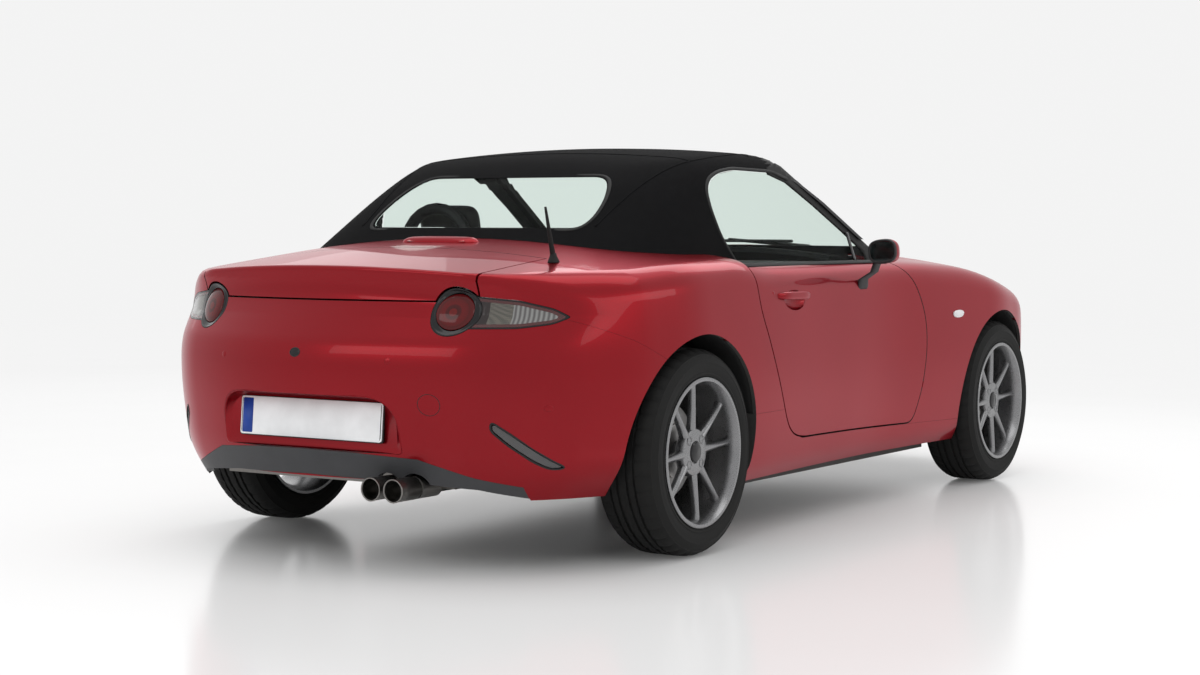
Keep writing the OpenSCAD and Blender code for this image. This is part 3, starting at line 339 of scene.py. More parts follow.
class Shader:
    def __init__(self, name, color=(0.5, 0.5, 0.5), roughness=0.5, metallic=0.0, **fixed):
        self.material = bpy.data.materials.new(name)
        self.material.use_nodes = True
        self.tree = self.material.node_tree
        self.surface = self.tree.nodes["Principled BSDF"]
        self.surface.inputs["Base Color"].default_value = (*color, 1)
        self.surface.inputs["Roughness"].default_value = roughness
        self.surface.inputs["Metallic"].default_value = metallic
        for key, value in fixed.items():
            self.surface.inputs[key.replace("_", " ")].default_value = value
        self.material.diffuse_color = (*color, 1)
        self.place = self.node("ShaderNodeTexCoord", {}, output="Object")

    def node(self, kind, inputs, output=0, **settings):
        made = self.tree.nodes.new(kind)
        stops = settings.pop("stops", None)
        for key, value in settings.items():
            setattr(made, key, value)
        if stops:
            ramp = made.color_ramp
            while len(ramp.elements) < len(stops):
                ramp.elements.new(0.5)
            for element, (at, value) in zip(ramp.elements, stops):
                element.position, element.color = at, (value, value, value, 1) if isinstance(value,
                    (int, float)) else (*value, 1)
        for key, value in inputs.items():
            if isinstance(value, Wire):
                self.tree.links.new(value.socket, made.inputs[key])
            else:
                made.inputs[key].default_value = value
        return Wire(self, made.outputs[output])

    def noise(self, scale, detail=2.0, rough=0.5, place=None):
        return self.node("ShaderNodeTexNoise",
                         {"Vector": place or self.place, "Scale": scale, "Detail": detail,
                          "Roughness": rough})

    def mix(self, factor, a, b):
        ends = {6 + k: (*v, 1) if isinstance(v, tuple) else v for k, v in enumerate((a, b))}
        return self.node("ShaderNodeMix", {0: factor, **ends}, output=2, data_type="RGBA")

    def split(self):
        made = self.tree.nodes.new("ShaderNodeSeparateXYZ")
        self.tree.links.new(self.place.socket, made.inputs[0])
        return [Wire(self, made.outputs[k]) for k in range(3)]

    def feed(self, **sockets):
        for key, wire in sockets.items():
            self.tree.links.new(wire.socket, self.surface.inputs[key.replace("_", " ")])
        return self

    def bump(self, height, strength, distance):
        return self.feed(Normal=self.node("ShaderNodeBump",
                                          {"Height": height, "Strength": strength, "Distance": distance}))


def candyPaint():
    s = Shader("candyRedPaint", (0.30, 0.004, 0.010), 0.30, 0.8, Coat_Weight=0.42, Coat_Roughness=0.02,
               Coat_IOR=1.4, Specular_IOR_Level=0.2, Specular_Tint=(1.0, 0.55, 0.6, 1))
    flake = s.noise(2600, 1.0)
    cloud = s.noise(3.0, 2.0)
    s.feed(Base_Color=s.mix(flake * 0.7 + cloud * 0.3, (0.17, 0.0025, 0.006), (0.30, 0.005, 0.011)),
           Roughness=0.26 + flake * 0.1)
    return s.material


def plainPlastic(name, color, roughness, grain=900, depth=0.0004):
    s = Shader(name, color, roughness, Specular_IOR_Level=0.3)
    fine = s.noise(grain, 3.0)
    s.feed(Roughness=fine * 0.16 + (roughness - 0.08),
           Base_Color=s.mix(s.noise(14, 3.0), tuple(c * 0.85 for c in color), tuple(c * 1.15 for c in color)))
    return s.bump(fine, 0.25, depth).material


def wovenCanvas():
    s = Shader("softTopCanvas", (0.004, 0.004, 0.0045), 0.9, Sheen_Weight=0.01, Sheen_Roughness=0.5,
               Specular_IOR_Level=0.04)
    threads = [s.node("ShaderNodeTexWave",
                      {"Vector": s.place, "Scale": 420.0, "Distortion": 0.4, "Detail": 1.0},
                      output=1, wave_type="BANDS", bands_direction=d) for d in ("X", "Y", "Z")]
    weave = threads[0] * 0.4 + threads[1] * 0.4 + threads[2] * 0.2
    s.feed(Base_Color=s.mix(weave * 0.6 + s.noise(40, 4.0) * 0.4, (0.0015, 0.0015, 0.0018),
                            (0.0065, 0.0065, 0.007)))
    return s.bump(weave + s.noise(9, 2.0) * 3, 0.3, 0.0006).material


def tyreRubber():
    s = Shader("tyreRubber", (0.012, 0.012, 0.013), 0.78, Specular_IOR_Level=0.2)
    dust = s.noise(22, 5.0)
    s.feed(Base_Color=s.mix(dust, (0.005, 0.005, 0.005), (0.013, 0.013, 0.0125)), Roughness=0.66 + dust * 0.2)
    return s.bump(s.noise(1400, 2.0), 0.2, 0.0003).material


def brushedMetal(name, color, roughness, metallic=1.0, stretch=(300, 12, 12)):
    s = Shader(name, color, roughness, metallic)
    along = s.node("ShaderNodeMapping", {"Vector": s.place, "Scale": stretch})
    line = s.noise(9, 4.0, place=along)
    s.feed(Roughness=roughness - 0.08 + line * 0.2,
           Base_Color=s.mix(line, tuple(c * 0.8 for c in color), tuple(min(c * 1.15, 1) for c in color)))
    return s.material


def tintedGlass(name="tintedGlass", color=(0.86, 0.92, 0.89), roughness=0.0):
    s = Shader(name, color, roughness, Transmission_Weight=1.0, IOR=1.05, Specular_IOR_Level=0.9)
    s.feed(Roughness=s.noise(3, 2.0) * 0.015)
    return s.material


def lensPlastic(name, color, ribs, depth=0.0012):
    s = Shader(name, color, 0.12, Coat_Weight=0.5, Coat_Roughness=0.03, Transmission_Weight=0.2, IOR=1.45)
    _, y, z = s.split()
    rows = s.node("ShaderNodeMath", {0: z * ribs}, operation="SINE")
    columns = s.node("ShaderNodeMath", {0: y * ribs}, operation="SINE")
    s.feed(Base_Color=s.mix(rows * columns * 0.5 + 0.5, tuple(c * 0.55 for c in color),
                            tuple(min(1, c * 1.3) for c in color)))
    return s.bump(rows * columns, 0.4, depth).material


def leather():
    s = Shader("seatLeather", (0.022, 0.021, 0.021), 0.5, Sheen_Weight=0.05, Specular_IOR_Level=0.3)
    grain = s.node("ShaderNodeTexVoronoi", {"Vector": s.place, "Scale": 420.0}, output="Distance")
    s.feed(Base_Color=s.mix(s.noise(18, 4.0), (0.016, 0.015, 0.015), (0.034, 0.032, 0.031)),
           Roughness=0.42 + grain * 0.25)
    return s.bump(grain, 0.35, 0.0006).material


def underSeal():
    s = Shader("underSeal", (0.030, 0.030, 0.031), 0.7)
    lumps = s.noise(160, 4.0)
    s.feed(Base_Color=s.mix(s.noise(5, 4.0), (0.020, 0.020, 0.021), (0.055, 0.052, 0.048)),
           Roughness=0.55 + lumps * 0.3)
    return s.bump(lumps, 0.4, 0.001).material


def roundLensFinish():
    s = Shader("roundTailLens", (0.30, 0.004, 0.006), 0.10, Coat_Weight=0.35, Coat_Roughness=0.02,
               Specular_IOR_Level=0.15)
    _, y, z = s.split()
    side = s.node("ShaderNodeMath", {0: y}, operation="ABSOLUTE") - 0.445
    up = z - 0.735
    r = (side * side + up * up) ** 0.5
    turn = s.node("ShaderNodeMath", {0: side, 1: up}, operation="ARCTAN2")
    rays = s.node("ShaderNodeMath", {0: turn * 40}, operation="SINE")
    ramp = s.node("ShaderNodeValToRGB", {0: r * 20}, stops=[
        (0.0, (0.10, 0.003, 0.003)), (0.18, (0.13, 0.003, 0.003)), (0.24, (0.03, 0.001, 0.001)),
        (0.40, (0.05, 0.001, 0.002)),
        (0.46, (0.11, 0.001, 0.002)), (0.74, (0.09, 0.001, 0.002)), (0.80, (0.06, 0.001, 0.001)),
        (0.95, (0.08, 0.001, 0.002))])
    s.feed(Base_Color=s.mix(rays * 0.25 + 0.25, ramp, (0.07, 0.001, 0.001)))
    return s.material


def tipLensFinish():
    s = Shader("tailTipLens", (0.2, 0.2, 0.2), 0.10, Coat_Weight=0.5, Coat_Roughness=0.02,
               Specular_IOR_Level=0.2)
    _, y, _ = s.split()
    side = s.node("ShaderNodeMath", {0: y}, operation="ABSOLUTE")
    checks = s.node("ShaderNodeTexChecker",
                    {"Vector": s.place, "Scale": 220.0, "Color1": (0.13, 0.12, 0.10, 1),
                     "Color2": (0.05, 0.05, 0.045, 1)})
    stripes = s.node("ShaderNodeMath", {0: side * 620}, operation="SINE") * 0.5 + 0.5
    pale = s.mix(stripes, (0.22, 0.22, 0.215), (0.08, 0.075, 0.075))
    inner = s.mix(side > 0.585, s.mix(side > 0.530, (0.018, 0.012, 0.012), checks), pale)
    s.feed(Base_Color=inner)
    return s.bump(stripes, 0.3, 0.0008).material


paint = candyPaint()
blackPlastic = plainPlastic("grainedBlackPlastic", (0.016, 0.016, 0.017), 0.55)
glossBlack = plainPlastic("glossBlackTrim", (0.008, 0.008, 0.009), 0.16, 300, 0.00005)
greyPlastic = plainPlastic("darkGreyValance", (0.040, 0.041, 0.044), 0.5)
cabinPlastic = plainPlastic("cabinPlastic", (0.020, 0.020, 0.021), 0.6, 700)
sealRubber = plainPlastic("sealRubber", (0.010, 0.010, 0.010), 0.7, 500)
canvas = wovenCanvas()
rubber = tyreRubber()
glass = tintedGlass()
clearLens = tintedGlass("clearLens", (0.95, 0.95, 0.97))
wheelMetal = brushedMetal("gunmetalLacquer", (0.24, 0.24, 0.245), 0.27, 0.9, (40, 40, 40))
steel = brushedMetal("brushedSteel", (0.50, 0.49, 0.48), 0.34)
castMetal = brushedMetal("castMetal", (0.20, 0.20, 0.205), 0.6, 0.7, (60, 60, 60))
chrome = brushedMetal("chromeTrim", (0.80, 0.80, 0.81), 0.10, 1.0, (20, 20, 20))
redLens = lensPlastic("redLens", (0.55, 0.006, 0.010), 900)
smokeLens = lensPlastic("smokeLens", (0.30, 0.31, 0.32), 1300)
deepLens = lensPlastic("deepRedLens", (0.07, 0.002, 0.003), 900)
darkLens = lensPlastic("darkReflector", (0.07, 0.068, 0.07), 1300)
exhaustMetal = brushedMetal("exhaustSteel", (0.20, 0.19, 0.18), 0.30)
hide = leather()
roundLens, tipLens = roundLensFinish(), tipLensFinish()
plateBlue = plainPlastic("plateBlueStrip", (0.012, 0.05, 0.30), 0.35, 1500, 0.0001)
clearPlastic = plainPlastic("clearPlastic", (0.62, 0.62, 0.63), 0.12, 1500, 0.0001)
seal = underSeal()
plateWhite = plainPlastic("plateWhite", (0.80, 0.81, 0.82), 0.35, 1500, 0.0001)
mirrorGlass = brushedMetal("mirrorGlass", (0.40, 0.47, 0.48), 0.05, 1.0, (5, 5, 5))
print("materials made")

# outlines shared by neighbouring panels, in millimetres
doorEdge = rounded([(-768, 1200), (-760, 848), (-752, 790), (-740, 715), (-650, 550), (-555, 390),
                    (-520, 345),
                    (-470, 312), (-400, 298), (0, 290), (300, 282), (462, 278), (488, 300), (525, 400),
                    (546, 550),
                    (534, 665), (480, 767), (400, 848), (395, 1200)],
                    [0, 20] + [45] * 9 + [26, 26, 45, 60, 60, 60, 20, 0])
bonnetHalf = [(698, 0), (690, 160), (664, 330), (622, 480), (560, 628), (760, 648), (1100, 652), (1400, 630),
              (1600, 585), (1740, 500), (1830, 370), (1872, 200), (1884, 0)]
bonnetEdge = rounded(bonnetHalf + [(x, -y) for x, y in bonnetHalf[-2:0:-1]],
                     [60, 60, 60, 60, 8] + [60] * 15 + [8] + [60] * 3)
lidFront, lidHalf, lidDrop = rearAxle - 318, 500, 766
lampY, lampZ, lampRadius = 445, 735, 66
tailEdge = [(-nose - 60, 100), (rearAxle - 200, 100), (rearAxle - 190, 588), (rearAxle - 330, 652),
            (rearAxle - 488, 708), (-nose + 190, lidDrop - 5), (-nose - 60, lidDrop - 5)]
noseEdge = [(nose + 60, 100), (frontAxle + 200, 100), (frontAxle + 200, 540), (frontAxle + 300, 560),
            (frontAxle + 420, 596), (frontAxle + 560, 640), (nose + 60, 668)]
sillEdge = [(rearAxle + 300, 185), (rearAxle + 300, 398), (-560, 396), (-520, 360), (-470, 318), (-400, 292),
            (0, 284), (300, 276), (480, 272), (frontAxle - 300, 262), (frontAxle - 300, 185)]
headlampEdge = rounded([(486, 585), (520, 622), (610, 652), (712, 672), (728, 658), (690, 628), (600, 596),
                        (520, 576)], 18)
mouthEdge = rounded([(-430, 245), (-400, 400), (-330, 440), (330, 440), (400, 400), (430, 245), (350, 215),
                     (-350, 215)], 40)
recessShape = [(-320, 340), (320, 340), (320, 445), (270, 500), (-270, 500), (-320, 445)]
recessBend = [12, 12, 60, 60, 60, 60]
valanceEdge = [(-600, 212), (-600, 246), (-500, 274), (-360, 325), (-180, 338), (0, 341), (180, 338),
               (360, 325),
               (500, 274), (600, 246), (600, 212), (500, 240), (300, 260), (0, 268), (-300, 260), (-500, 240)]
slashShape = [(560, 436), (556, 410), (590, 370), (640, 318), (668, 296), (700, 300), (676, 322), (600, 400)]
slashEdge = rounded(slashShape, 14)
dayEdge = rounded([(520, 420), (640, 400), (660, 330), (640, 300), (560, 330)], 16)
lampTailShape = [(lampY + 20, lampZ + 47), (lampY + 20, lampZ - 46), (605, lampZ - 45), (675, lampZ - 34),
                 (706, lampZ - 14),
                 (672, lampZ + 10), (600, lampZ + 32)]
lampTailBend = [0, 0, 14, 14, 8, 14, 14]
windowEdge = rounded([(-398, 968), (-418, 1000), (-405, 1060), (-372, 1108), (-330, 1128), (330, 1128),
                      (372, 1108),
                      (405, 1060), (418, 1000), (398, 968)], 34)
sideGlassEdge = rounded([(-622, 848.3), (-690, 940), (-712, 1022), (-696, 1080), (-655, 1118), (-590, 1142),
                         (-500, 1154),
                         (-240, 1150), (-150, 1130), (20, 1050), (190, 962), (300, 900), (330, 848.3)],
                        [0] + [30] * 11 + [0])


def archCutter(x, side=1):
    return prism(circle(x, car["axleHeight"], car["archRadius"], 96), "y", side * 720 - 260, side * 720 + 260)


def lidEdge(grown=0.0):
    return [(-nose - 50, -lidHalf - grown), (lidFront + grown, -lidHalf - grown),
            (lidFront + grown, lidHalf + grown), (-nose - 50, lidHalf + grown)]


def rays(azimuth, elevation):
    a, e = np.radians(azimuth)[:, None], np.radians(elevation)[None, :]
    return np.stack([np.cos(a) * np.cos(e), np.sin(a) * np.cos(e), np.sin(e) + 0 * a], -1)


def around(xs, angles):
    a = np.radians(angles)
    d = np.stack([0 * a, np.cos(a), np.sin(a)], -1)[None]
    return np.repeat(d, len(xs), 0)


def fenderGrid():
    xs, angles = np.linspace(370, 1886, 112), np.linspace(-22, 39, 62)
    origins = np.stack([xs, 0 * xs, 0 * xs + 450], -1)[:, None]
    return reach(origins, around(xs, angles))


def quarterGrid(outset=0.0):
    d = rays(np.linspace(48, 180, 120), np.concatenate([np.linspace(-24, 30, 58), np.linspace(31, 89, 34)]))
    return reach([rearAxle - 38, 0, 520], d) + d * outset


def levelGrid(x, zs, azimuths):
    d = rays(azimuths, np.zeros(len(zs)))
    origins = np.broadcast_to(np.stack([zs * 0 + x, zs * 0, zs], -1)[None], d.shape)
    return reach(origins, d)


def bodyPanels():
    seam, gap, wall = car["seam"], car["shutGap"], car["panelWall"]
    door = prism(grow(doorEdge, gap), "y", 400, 1100)
    bonnetCut = [prism(grow([(x + s, y) for x, y in bonnetEdge], gap), "z", 560, 1100) for s in (0, 4.5)]
    noseCut, tailCut, sillCut = (prism(grow(e, seam), "y", -1100, 1100)
                                 for e in (noseEdge, tailEdge, sillEdge))
    fender = newPiece("frontWings", gridOf(fenderGrid(), wall, bodySkin), [paint, seal],
                      stands=["front_fenders"])
    carve(fender, remove=[door, archCutter(frontAxle), *bonnetCut, noseCut, sillCut,
                          prism(grow(headlampEdge, seam), "x", 1200, nose),
                          block((300, -900, 100), (frontAxle - 560, 657, 1000)),
                          block((300, -100, 100), (2000, 900, 185))])
    polish(mirrored(fender))
    print("front wings")
    cabinHole = [(-1130, -20), (-1130, 380), (-1080, 500), (-960, 610), (-800, 655), (-700, 662), (-300, 665),
                 (-300, -20)]
    quarter = newPiece("rearQuarters", gridOf(quarterGrid(), wall, bodySkin), [paint, seal],
                       stands=["rear_quarters"])
    carve(quarter, remove=[door, archCutter(rearAxle), tailCut, sillCut, prism(lidEdge(gap), "z", 600, 1100),
                           tailLampCutter(seam),
                           prism(rounded(cabinHole, 40), "z", 600, 1100),
                           block((-2100, -600, 0), (2100, 0, 1200)),
                           block((-2100, -5, 0), (-1200, lidHalf, lidDrop + 60)),
                           block((-800, -5, 600), (0, 660, 1000)), block((-2100, -5, 0), (0, 1000, 185))])
    polish(mirrored(quarter))
    print("rear quarters")
    xs, angles = np.linspace(rearAxle + 290, frontAxle - 290, 60), np.linspace(-34, -1.5, 30)
    points = reach(np.stack([xs, 0 * xs, 0 * xs + 470], -1)[:, None], around(xs, angles))
    sill = newPiece("sills", gridOf(points, 90, bodySkin), [paint, seal], stands=["sills"])
    carve(sill, keep=[prism(sillEdge, "y", 400, 1100)],
          remove=[archCutter(frontAxle), archCutter(rearAxle), door,
                  block((-1500, 0, 0), (1500, 690.6, 700))])
    polish(mirrored(sill))
    print("sills")
    points = levelGrid(frontAxle + 150, np.linspace(168, 672, 74), np.linspace(-84, 84, 130))
    front = newPiece("frontBumper", gridOf(points, wall, bodySkin), [paint, seal], stands=["front_bumper"])
    both = [prism(o, "x", 1200, nose + 20) for g in (grow(headlampEdge, seam), grow(dayEdge, seam))
            for o in (g, flipped(g))]
    arches = [archCutter(frontAxle, s) for s in (1, -1)]
    carve(front, keep=[prism(noseEdge, "y", -1000, 1000)],
          remove=[prism(mouthEdge, "x", 1200, nose + 20), *arches, *bonnetCut, *both])
    polish(front)
    print("front bumper")
    zs = np.concatenate([np.linspace(206, 600, 50), np.linspace(606, 700, 26), np.linspace(706, 766, 12)])
    points = levelGrid(rearAxle - 138, zs, 180 + np.linspace(-87.5, 87.5, 152))
    rear = newPiece("rearBumper", gridOf(points, wall, bodySkin), [paint, seal], stands=["rear_bumper"])
    arches = [archCutter(rearAxle, s) for s in (1, -1)]
    slash = [prism(o, "x", -nose - 20, -1400)
             for o in (grow(slashEdge, seam), flipped(grow(slashEdge, seam)))]
    carve(rear, keep=[prism(tailEdge, "y", -1000, 1000)], remove=[
        prism(inset(recessShape, -1, recessBend), "x", -nose - 20, -nose + 200), *arches,
        prism(grow(valanceEdge, seam), "x", -nose - 20, -1500),
        prism([(-601, 100), (-601, 213), (-500, 242), (-300, 262), (300, 262), (500, 242), (601, 213),
               (601, 100)], "x", -nose - 20, -1500),
        tailLampCutter(seam), mirrorTool(tailLampCutter(seam)), *slash])
    polish(rear)
    print("rear bumper")
    xs, ys = np.linspace(540, 1893, 90), np.linspace(-672, 672, 90)
    points = reach(np.stack(np.broadcast_arrays(xs[:, None], ys[None], 300.0), -1), [0, 0, 1])
    bonnet = newPiece("bonnetSkin", gridOf(points, car["lidWall"], bodySkin), paint, "bonnet", ["bonnet"])
    polish(carve(bonnet, keep=[prism(bonnetEdge, "z", 500, 1100)]))
    ys, angles = np.linspace(-504, 504,
                             64), np.concatenate([np.linspace(36, 132, 36), np.linspace(134, 188, 44)])
    a = np.radians(angles)
    d = np.broadcast_to(np.stack([np.cos(a), 0 * a, np.sin(a)], -1)[None], (len(ys), len(angles), 3))
    points = reach(np.stack([0 * ys + rearAxle - 500, ys, 0 * ys + 740], -1)[:, None], d)
    lid = newPiece("bootLidSkin", gridOf(points, car["lidWall"], bodySkin), paint, "boot_lid", ["boot_lid"])
    polish(carve(lid, keep=[prism(lidEdge(), "z", lidDrop, 1100)],
                 remove=[prism(circle(s * lampY, lampZ, lampRadius + 5.4), "x", -nose - 50, -nose + 500)
                         for s in (1, -1)]))
    print("bonnet and boot lid")


def tailLampCutter(grown):
    outline = grow(circle(lampY, lampZ, lampRadius, 64), grown)
    tail = inset(lampTailShape, -grown, lampTailBend)
    a, b = prism(outline, "x", -nose - 50, -nose + 500), prism(tail, "x", -nose - 50, -nose + 500)
    join = a.modifiers.new("join", "BOOLEAN")
    join.operation, join.object, join.solver = "UNION", b, "EXACT"
    return a


def mirrorTool(tool):
    carve(tool)
    bm = bmesh.new()
    bm.from_mesh(tool.data)
    bmesh.ops.scale(bm, vec=(1, -1, 1), verts=bm.verts[:])
    bmesh.ops.reverse_faces(bm, faces=bm.faces[:])
    bm.to_mesh(tool.data)
    bm.free()
    return tool


def archLiners():
    for end, x0 in (("Front", frontAxle), ("Rear", rearAxle)):
        rows = []
        for a in np.radians(np.linspace(-14, 194, 60)):
            x, z = x0 + 357 * math.cos(a), car["axleHeight"] + 357 * math.sin(a)
            outer = sideY(x, z) - 7
            rows.append([(x, y, z) for y in np.linspace(min(694, outer - 60), outer, 7)])
        wall = gridOf(np.array(rows))
        bmesh.ops.recalc_face_normals(wall, faces=wall.faces[:])
        bmesh.ops.solidify(wall, geom=wall.faces[:], thickness=3 * mm)
        bmesh.ops.recalc_face_normals(wall, faces=wall.faces[:])
        mirrored(newPiece("archLiner" + end, wall, sealRubber))


def doors():
    xs, zs = np.linspace(-800, 600, 110), np.linspace(268, 848, 64)
    points = reach(np.stack(np.broadcast_arrays(xs[:, None], 0.0, zs[None]), -1), [0, 1, 0])
    outer = gridOf(points, 22, bodySkin)
    left = newPiece("doorSkinLeft", outer, paint, None)
    bowl = bmesh.new()
    bmesh.ops.create_uvsphere(bowl, u_segments=32, v_segments=20, radius=1)
    bowl.transform(Matrix.Translation(Vector((-486, sideY(-486, 742) + 4, 742)) * mm)
                   @ Matrix.Diagonal((0.082, 0.020, 0.034, 1)))
    carve(left, keep=[prism(doorEdge, "y", 400, 1100)], remove=[asCutter(bowl)])
    right = left.copy()
    right.data = left.data.copy()
    right.name = "doorSkinRight"
    bpy.context.scene.collection.objects.link(right)
    mirrorTool(right)
    for piece, side in ((left, "left"), (right, "right")):
        polish(piece)
        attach(piece, "door_" + side)
        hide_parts("door_" + side)
    print("doors")


bodyPanels()
archLiners()
doors()


def softTop():
    xs = np.concatenate([np.linspace(-1178, -900, 44), np.linspace(-892, 30, 76)])
    angles = np.linspace(2, 178, 110)
    d = around(xs, angles)
    points = reach(np.stack([xs, 0 * xs, 0 * xs + 800], -1)[:, None], d, topSkin)
    cloth = newPiece("softTopCloth", gridOf(points, 5, topSkin), canvas, None)
    zs, ys = np.linspace(800, 1300, 10), np.linspace(-720, 720, 40)
    screen = np.stack(np.broadcast_arrays(screenX(ys[None], zs[:, None]) - 35.2, ys[None], zs[:, None]), -1)
    ahead = loft([[*row, *(row[::-1] + [900, 0, 0])] for row in screen])
    cuts = [asCutter(ahead), prism(grow(windowEdge, 0.4), "x", -1400, -650)]
    side = [(x - 17, z) for x, z in sideGlassEdge]
    belt = car["belt"]
    cuts += [prism(o, "y", -900, 900) for o in (
        grow(sideGlassEdge, 6), side, [(-780, 700), (-780, belt + 12), (-640, belt + 12), (-560, 900),
                                       (600, 900), (600, 700)],
        [(-240, 1156), (-120, 1200), (500, 1200), (500, 850), (-100, 850)])]
    body = gridOf(quarterGrid(0.4), 90, bodySkin)
    lower = asCutter(body)
    cuts += [lower, block((-1300, -800, 700), (200, 800, 850))]
    other = lower.copy()
    other.data = lower.data.copy()
    bpy.context.scene.collection.objects.link(other)
    scrap.append(other)
    cuts.append(mirrorTool(other))
    carve(cloth, remove=cuts)
    polish(cloth, topSkin)
    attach(cloth, "body_shell")
    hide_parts("soft_top")


softTop()
print("soft top")


def turned(profile, steps=96, loop=True):  # profile of [radius, height] turned round Z
    bm = bmesh.new()
    verts = [bm.verts.new((r * mm, 0, h * mm)) for r, h in profile]
    edges = [bm.edges.new(e) for e in zip(verts, verts[1:] + verts[:1] if loop else verts[1:])]
    bmesh.ops.spin(bm, geom=verts + edges, cent=(0, 0, 0), axis=(0, 0, 1), dvec=(0, 0, 0), angle=2 * math.pi,
                   steps=steps, use_merge=True)
    bmesh.ops.remove_doubles(bm, verts=bm.verts[:], dist=1e-6)
    bmesh.ops.recalc_face_normals(bm, faces=bm.faces[:])
    return bm


def joined(*parts):
    whole = bmesh.new()
    for bm in parts:
        kept = bpy.data.meshes.new("part")
        bm.to_mesh(kept)
        bm.free()
        whole.from_mesh(kept)
        bpy.data.meshes.remove(kept)
    return whole


def moved(bm, place, turn=0.0, axis="X"):
    bm.transform(Matrix.Translation(Vector(place) * mm) @ Matrix.Rotation(math.radians(turn), 4, axis))
    return bm


def ovalRing(centre, a, b, power=2.0, steps=32, plane="yz", tilt=0.0):  # superellipse in a plane
    ring = []
    for k in range(steps):
        t = 2 * math.pi * k / steps
        c, s = math.cos(t), math.sin(t)
        u, v = a * math.copysign(abs(c) ** (2 / power), c), b * math.copysign(abs(s) ** (2 / power), s)
        u, v = u * math.cos(tilt) - v * math.sin(tilt), u * math.sin(tilt) + v * math.cos(tilt)
        x, y, z = centre
        ring.append({"yz": (x, y + u, z + v), "xz": (x + u, y, z + v), "xy": (x + u, y + v, z)}[plane])
    return ring


def tube(path, radius, normals=None, flat=1.0,
         steps=10):  # radius may be a list; flat squashes it on the surface
    p = np.array(path, float)
    t = np.gradient(p, axis=0)
    t /= np.linalg.norm(t, axis=1, keepdims=True)
    up = np.array(normals if normals is not None else [[0.01, 0.02, 1.0]] * len(p))
    side = np.cross(t, up)
    side /= np.linalg.norm(side, axis=1, keepdims=True)
    up = np.cross(side, t)
    rs = radius if isinstance(radius, (list, tuple, np.ndarray)) else [radius] * len(p)
    turn = [2 * math.pi * k / steps for k in range(steps)]
    return loft([[tuple(q + r * math.cos(a) * s + r * flat * math.sin(a) * u) for a in turn]
                 for q, s, u, r in zip(p, side, up, rs)])


def skinTube(path, radius, skin=bodySkin, flat=0.6, sink=0.0):
    p = np.array(path, float)
    n = slope(skin, p)
    return tube(p - n * sink, radius, n, flat)


def skinPatch(name, outline, start, toward, material, depth=0.0, wall=6.0, skin=bodySkin, body="body_shell",
              step=9, stands=(), both=True, remove=()):
    ys, zs = [q[0] for q in outline], [q[1] for q in outline]
    u = np.linspace(min(ys) - 6, max(ys) + 6, max(4, int((max(ys) - min(ys)) / step) + 2))
    v = np.linspace(min(zs) - 6, max(zs) + 6, max(4, int((max(zs) - min(zs)) / step) + 2))
    points = reach(np.stack(np.broadcast_arrays(float(start), u[:, None], v[None]), -1), [toward, 0, 0],
                   skin) - [toward * depth, 0, 0]
    bm = gridOf(points, 0, skin)
    bm.normal_update()
    bmesh.ops.solidify(bm, geom=bm.faces[:], thickness=wall * mm)
    piece = newPiece(name, bm, material, body, stands)
    carve(piece, keep=[prism(outline, "x", min(start, start + toward * 1300),
                             max(start, start + toward * 1300))], remove=remove)
    polish(piece, lambda p: skin(p + [toward * depth, 0, 0]))
    return mirrored(piece) if both else piece


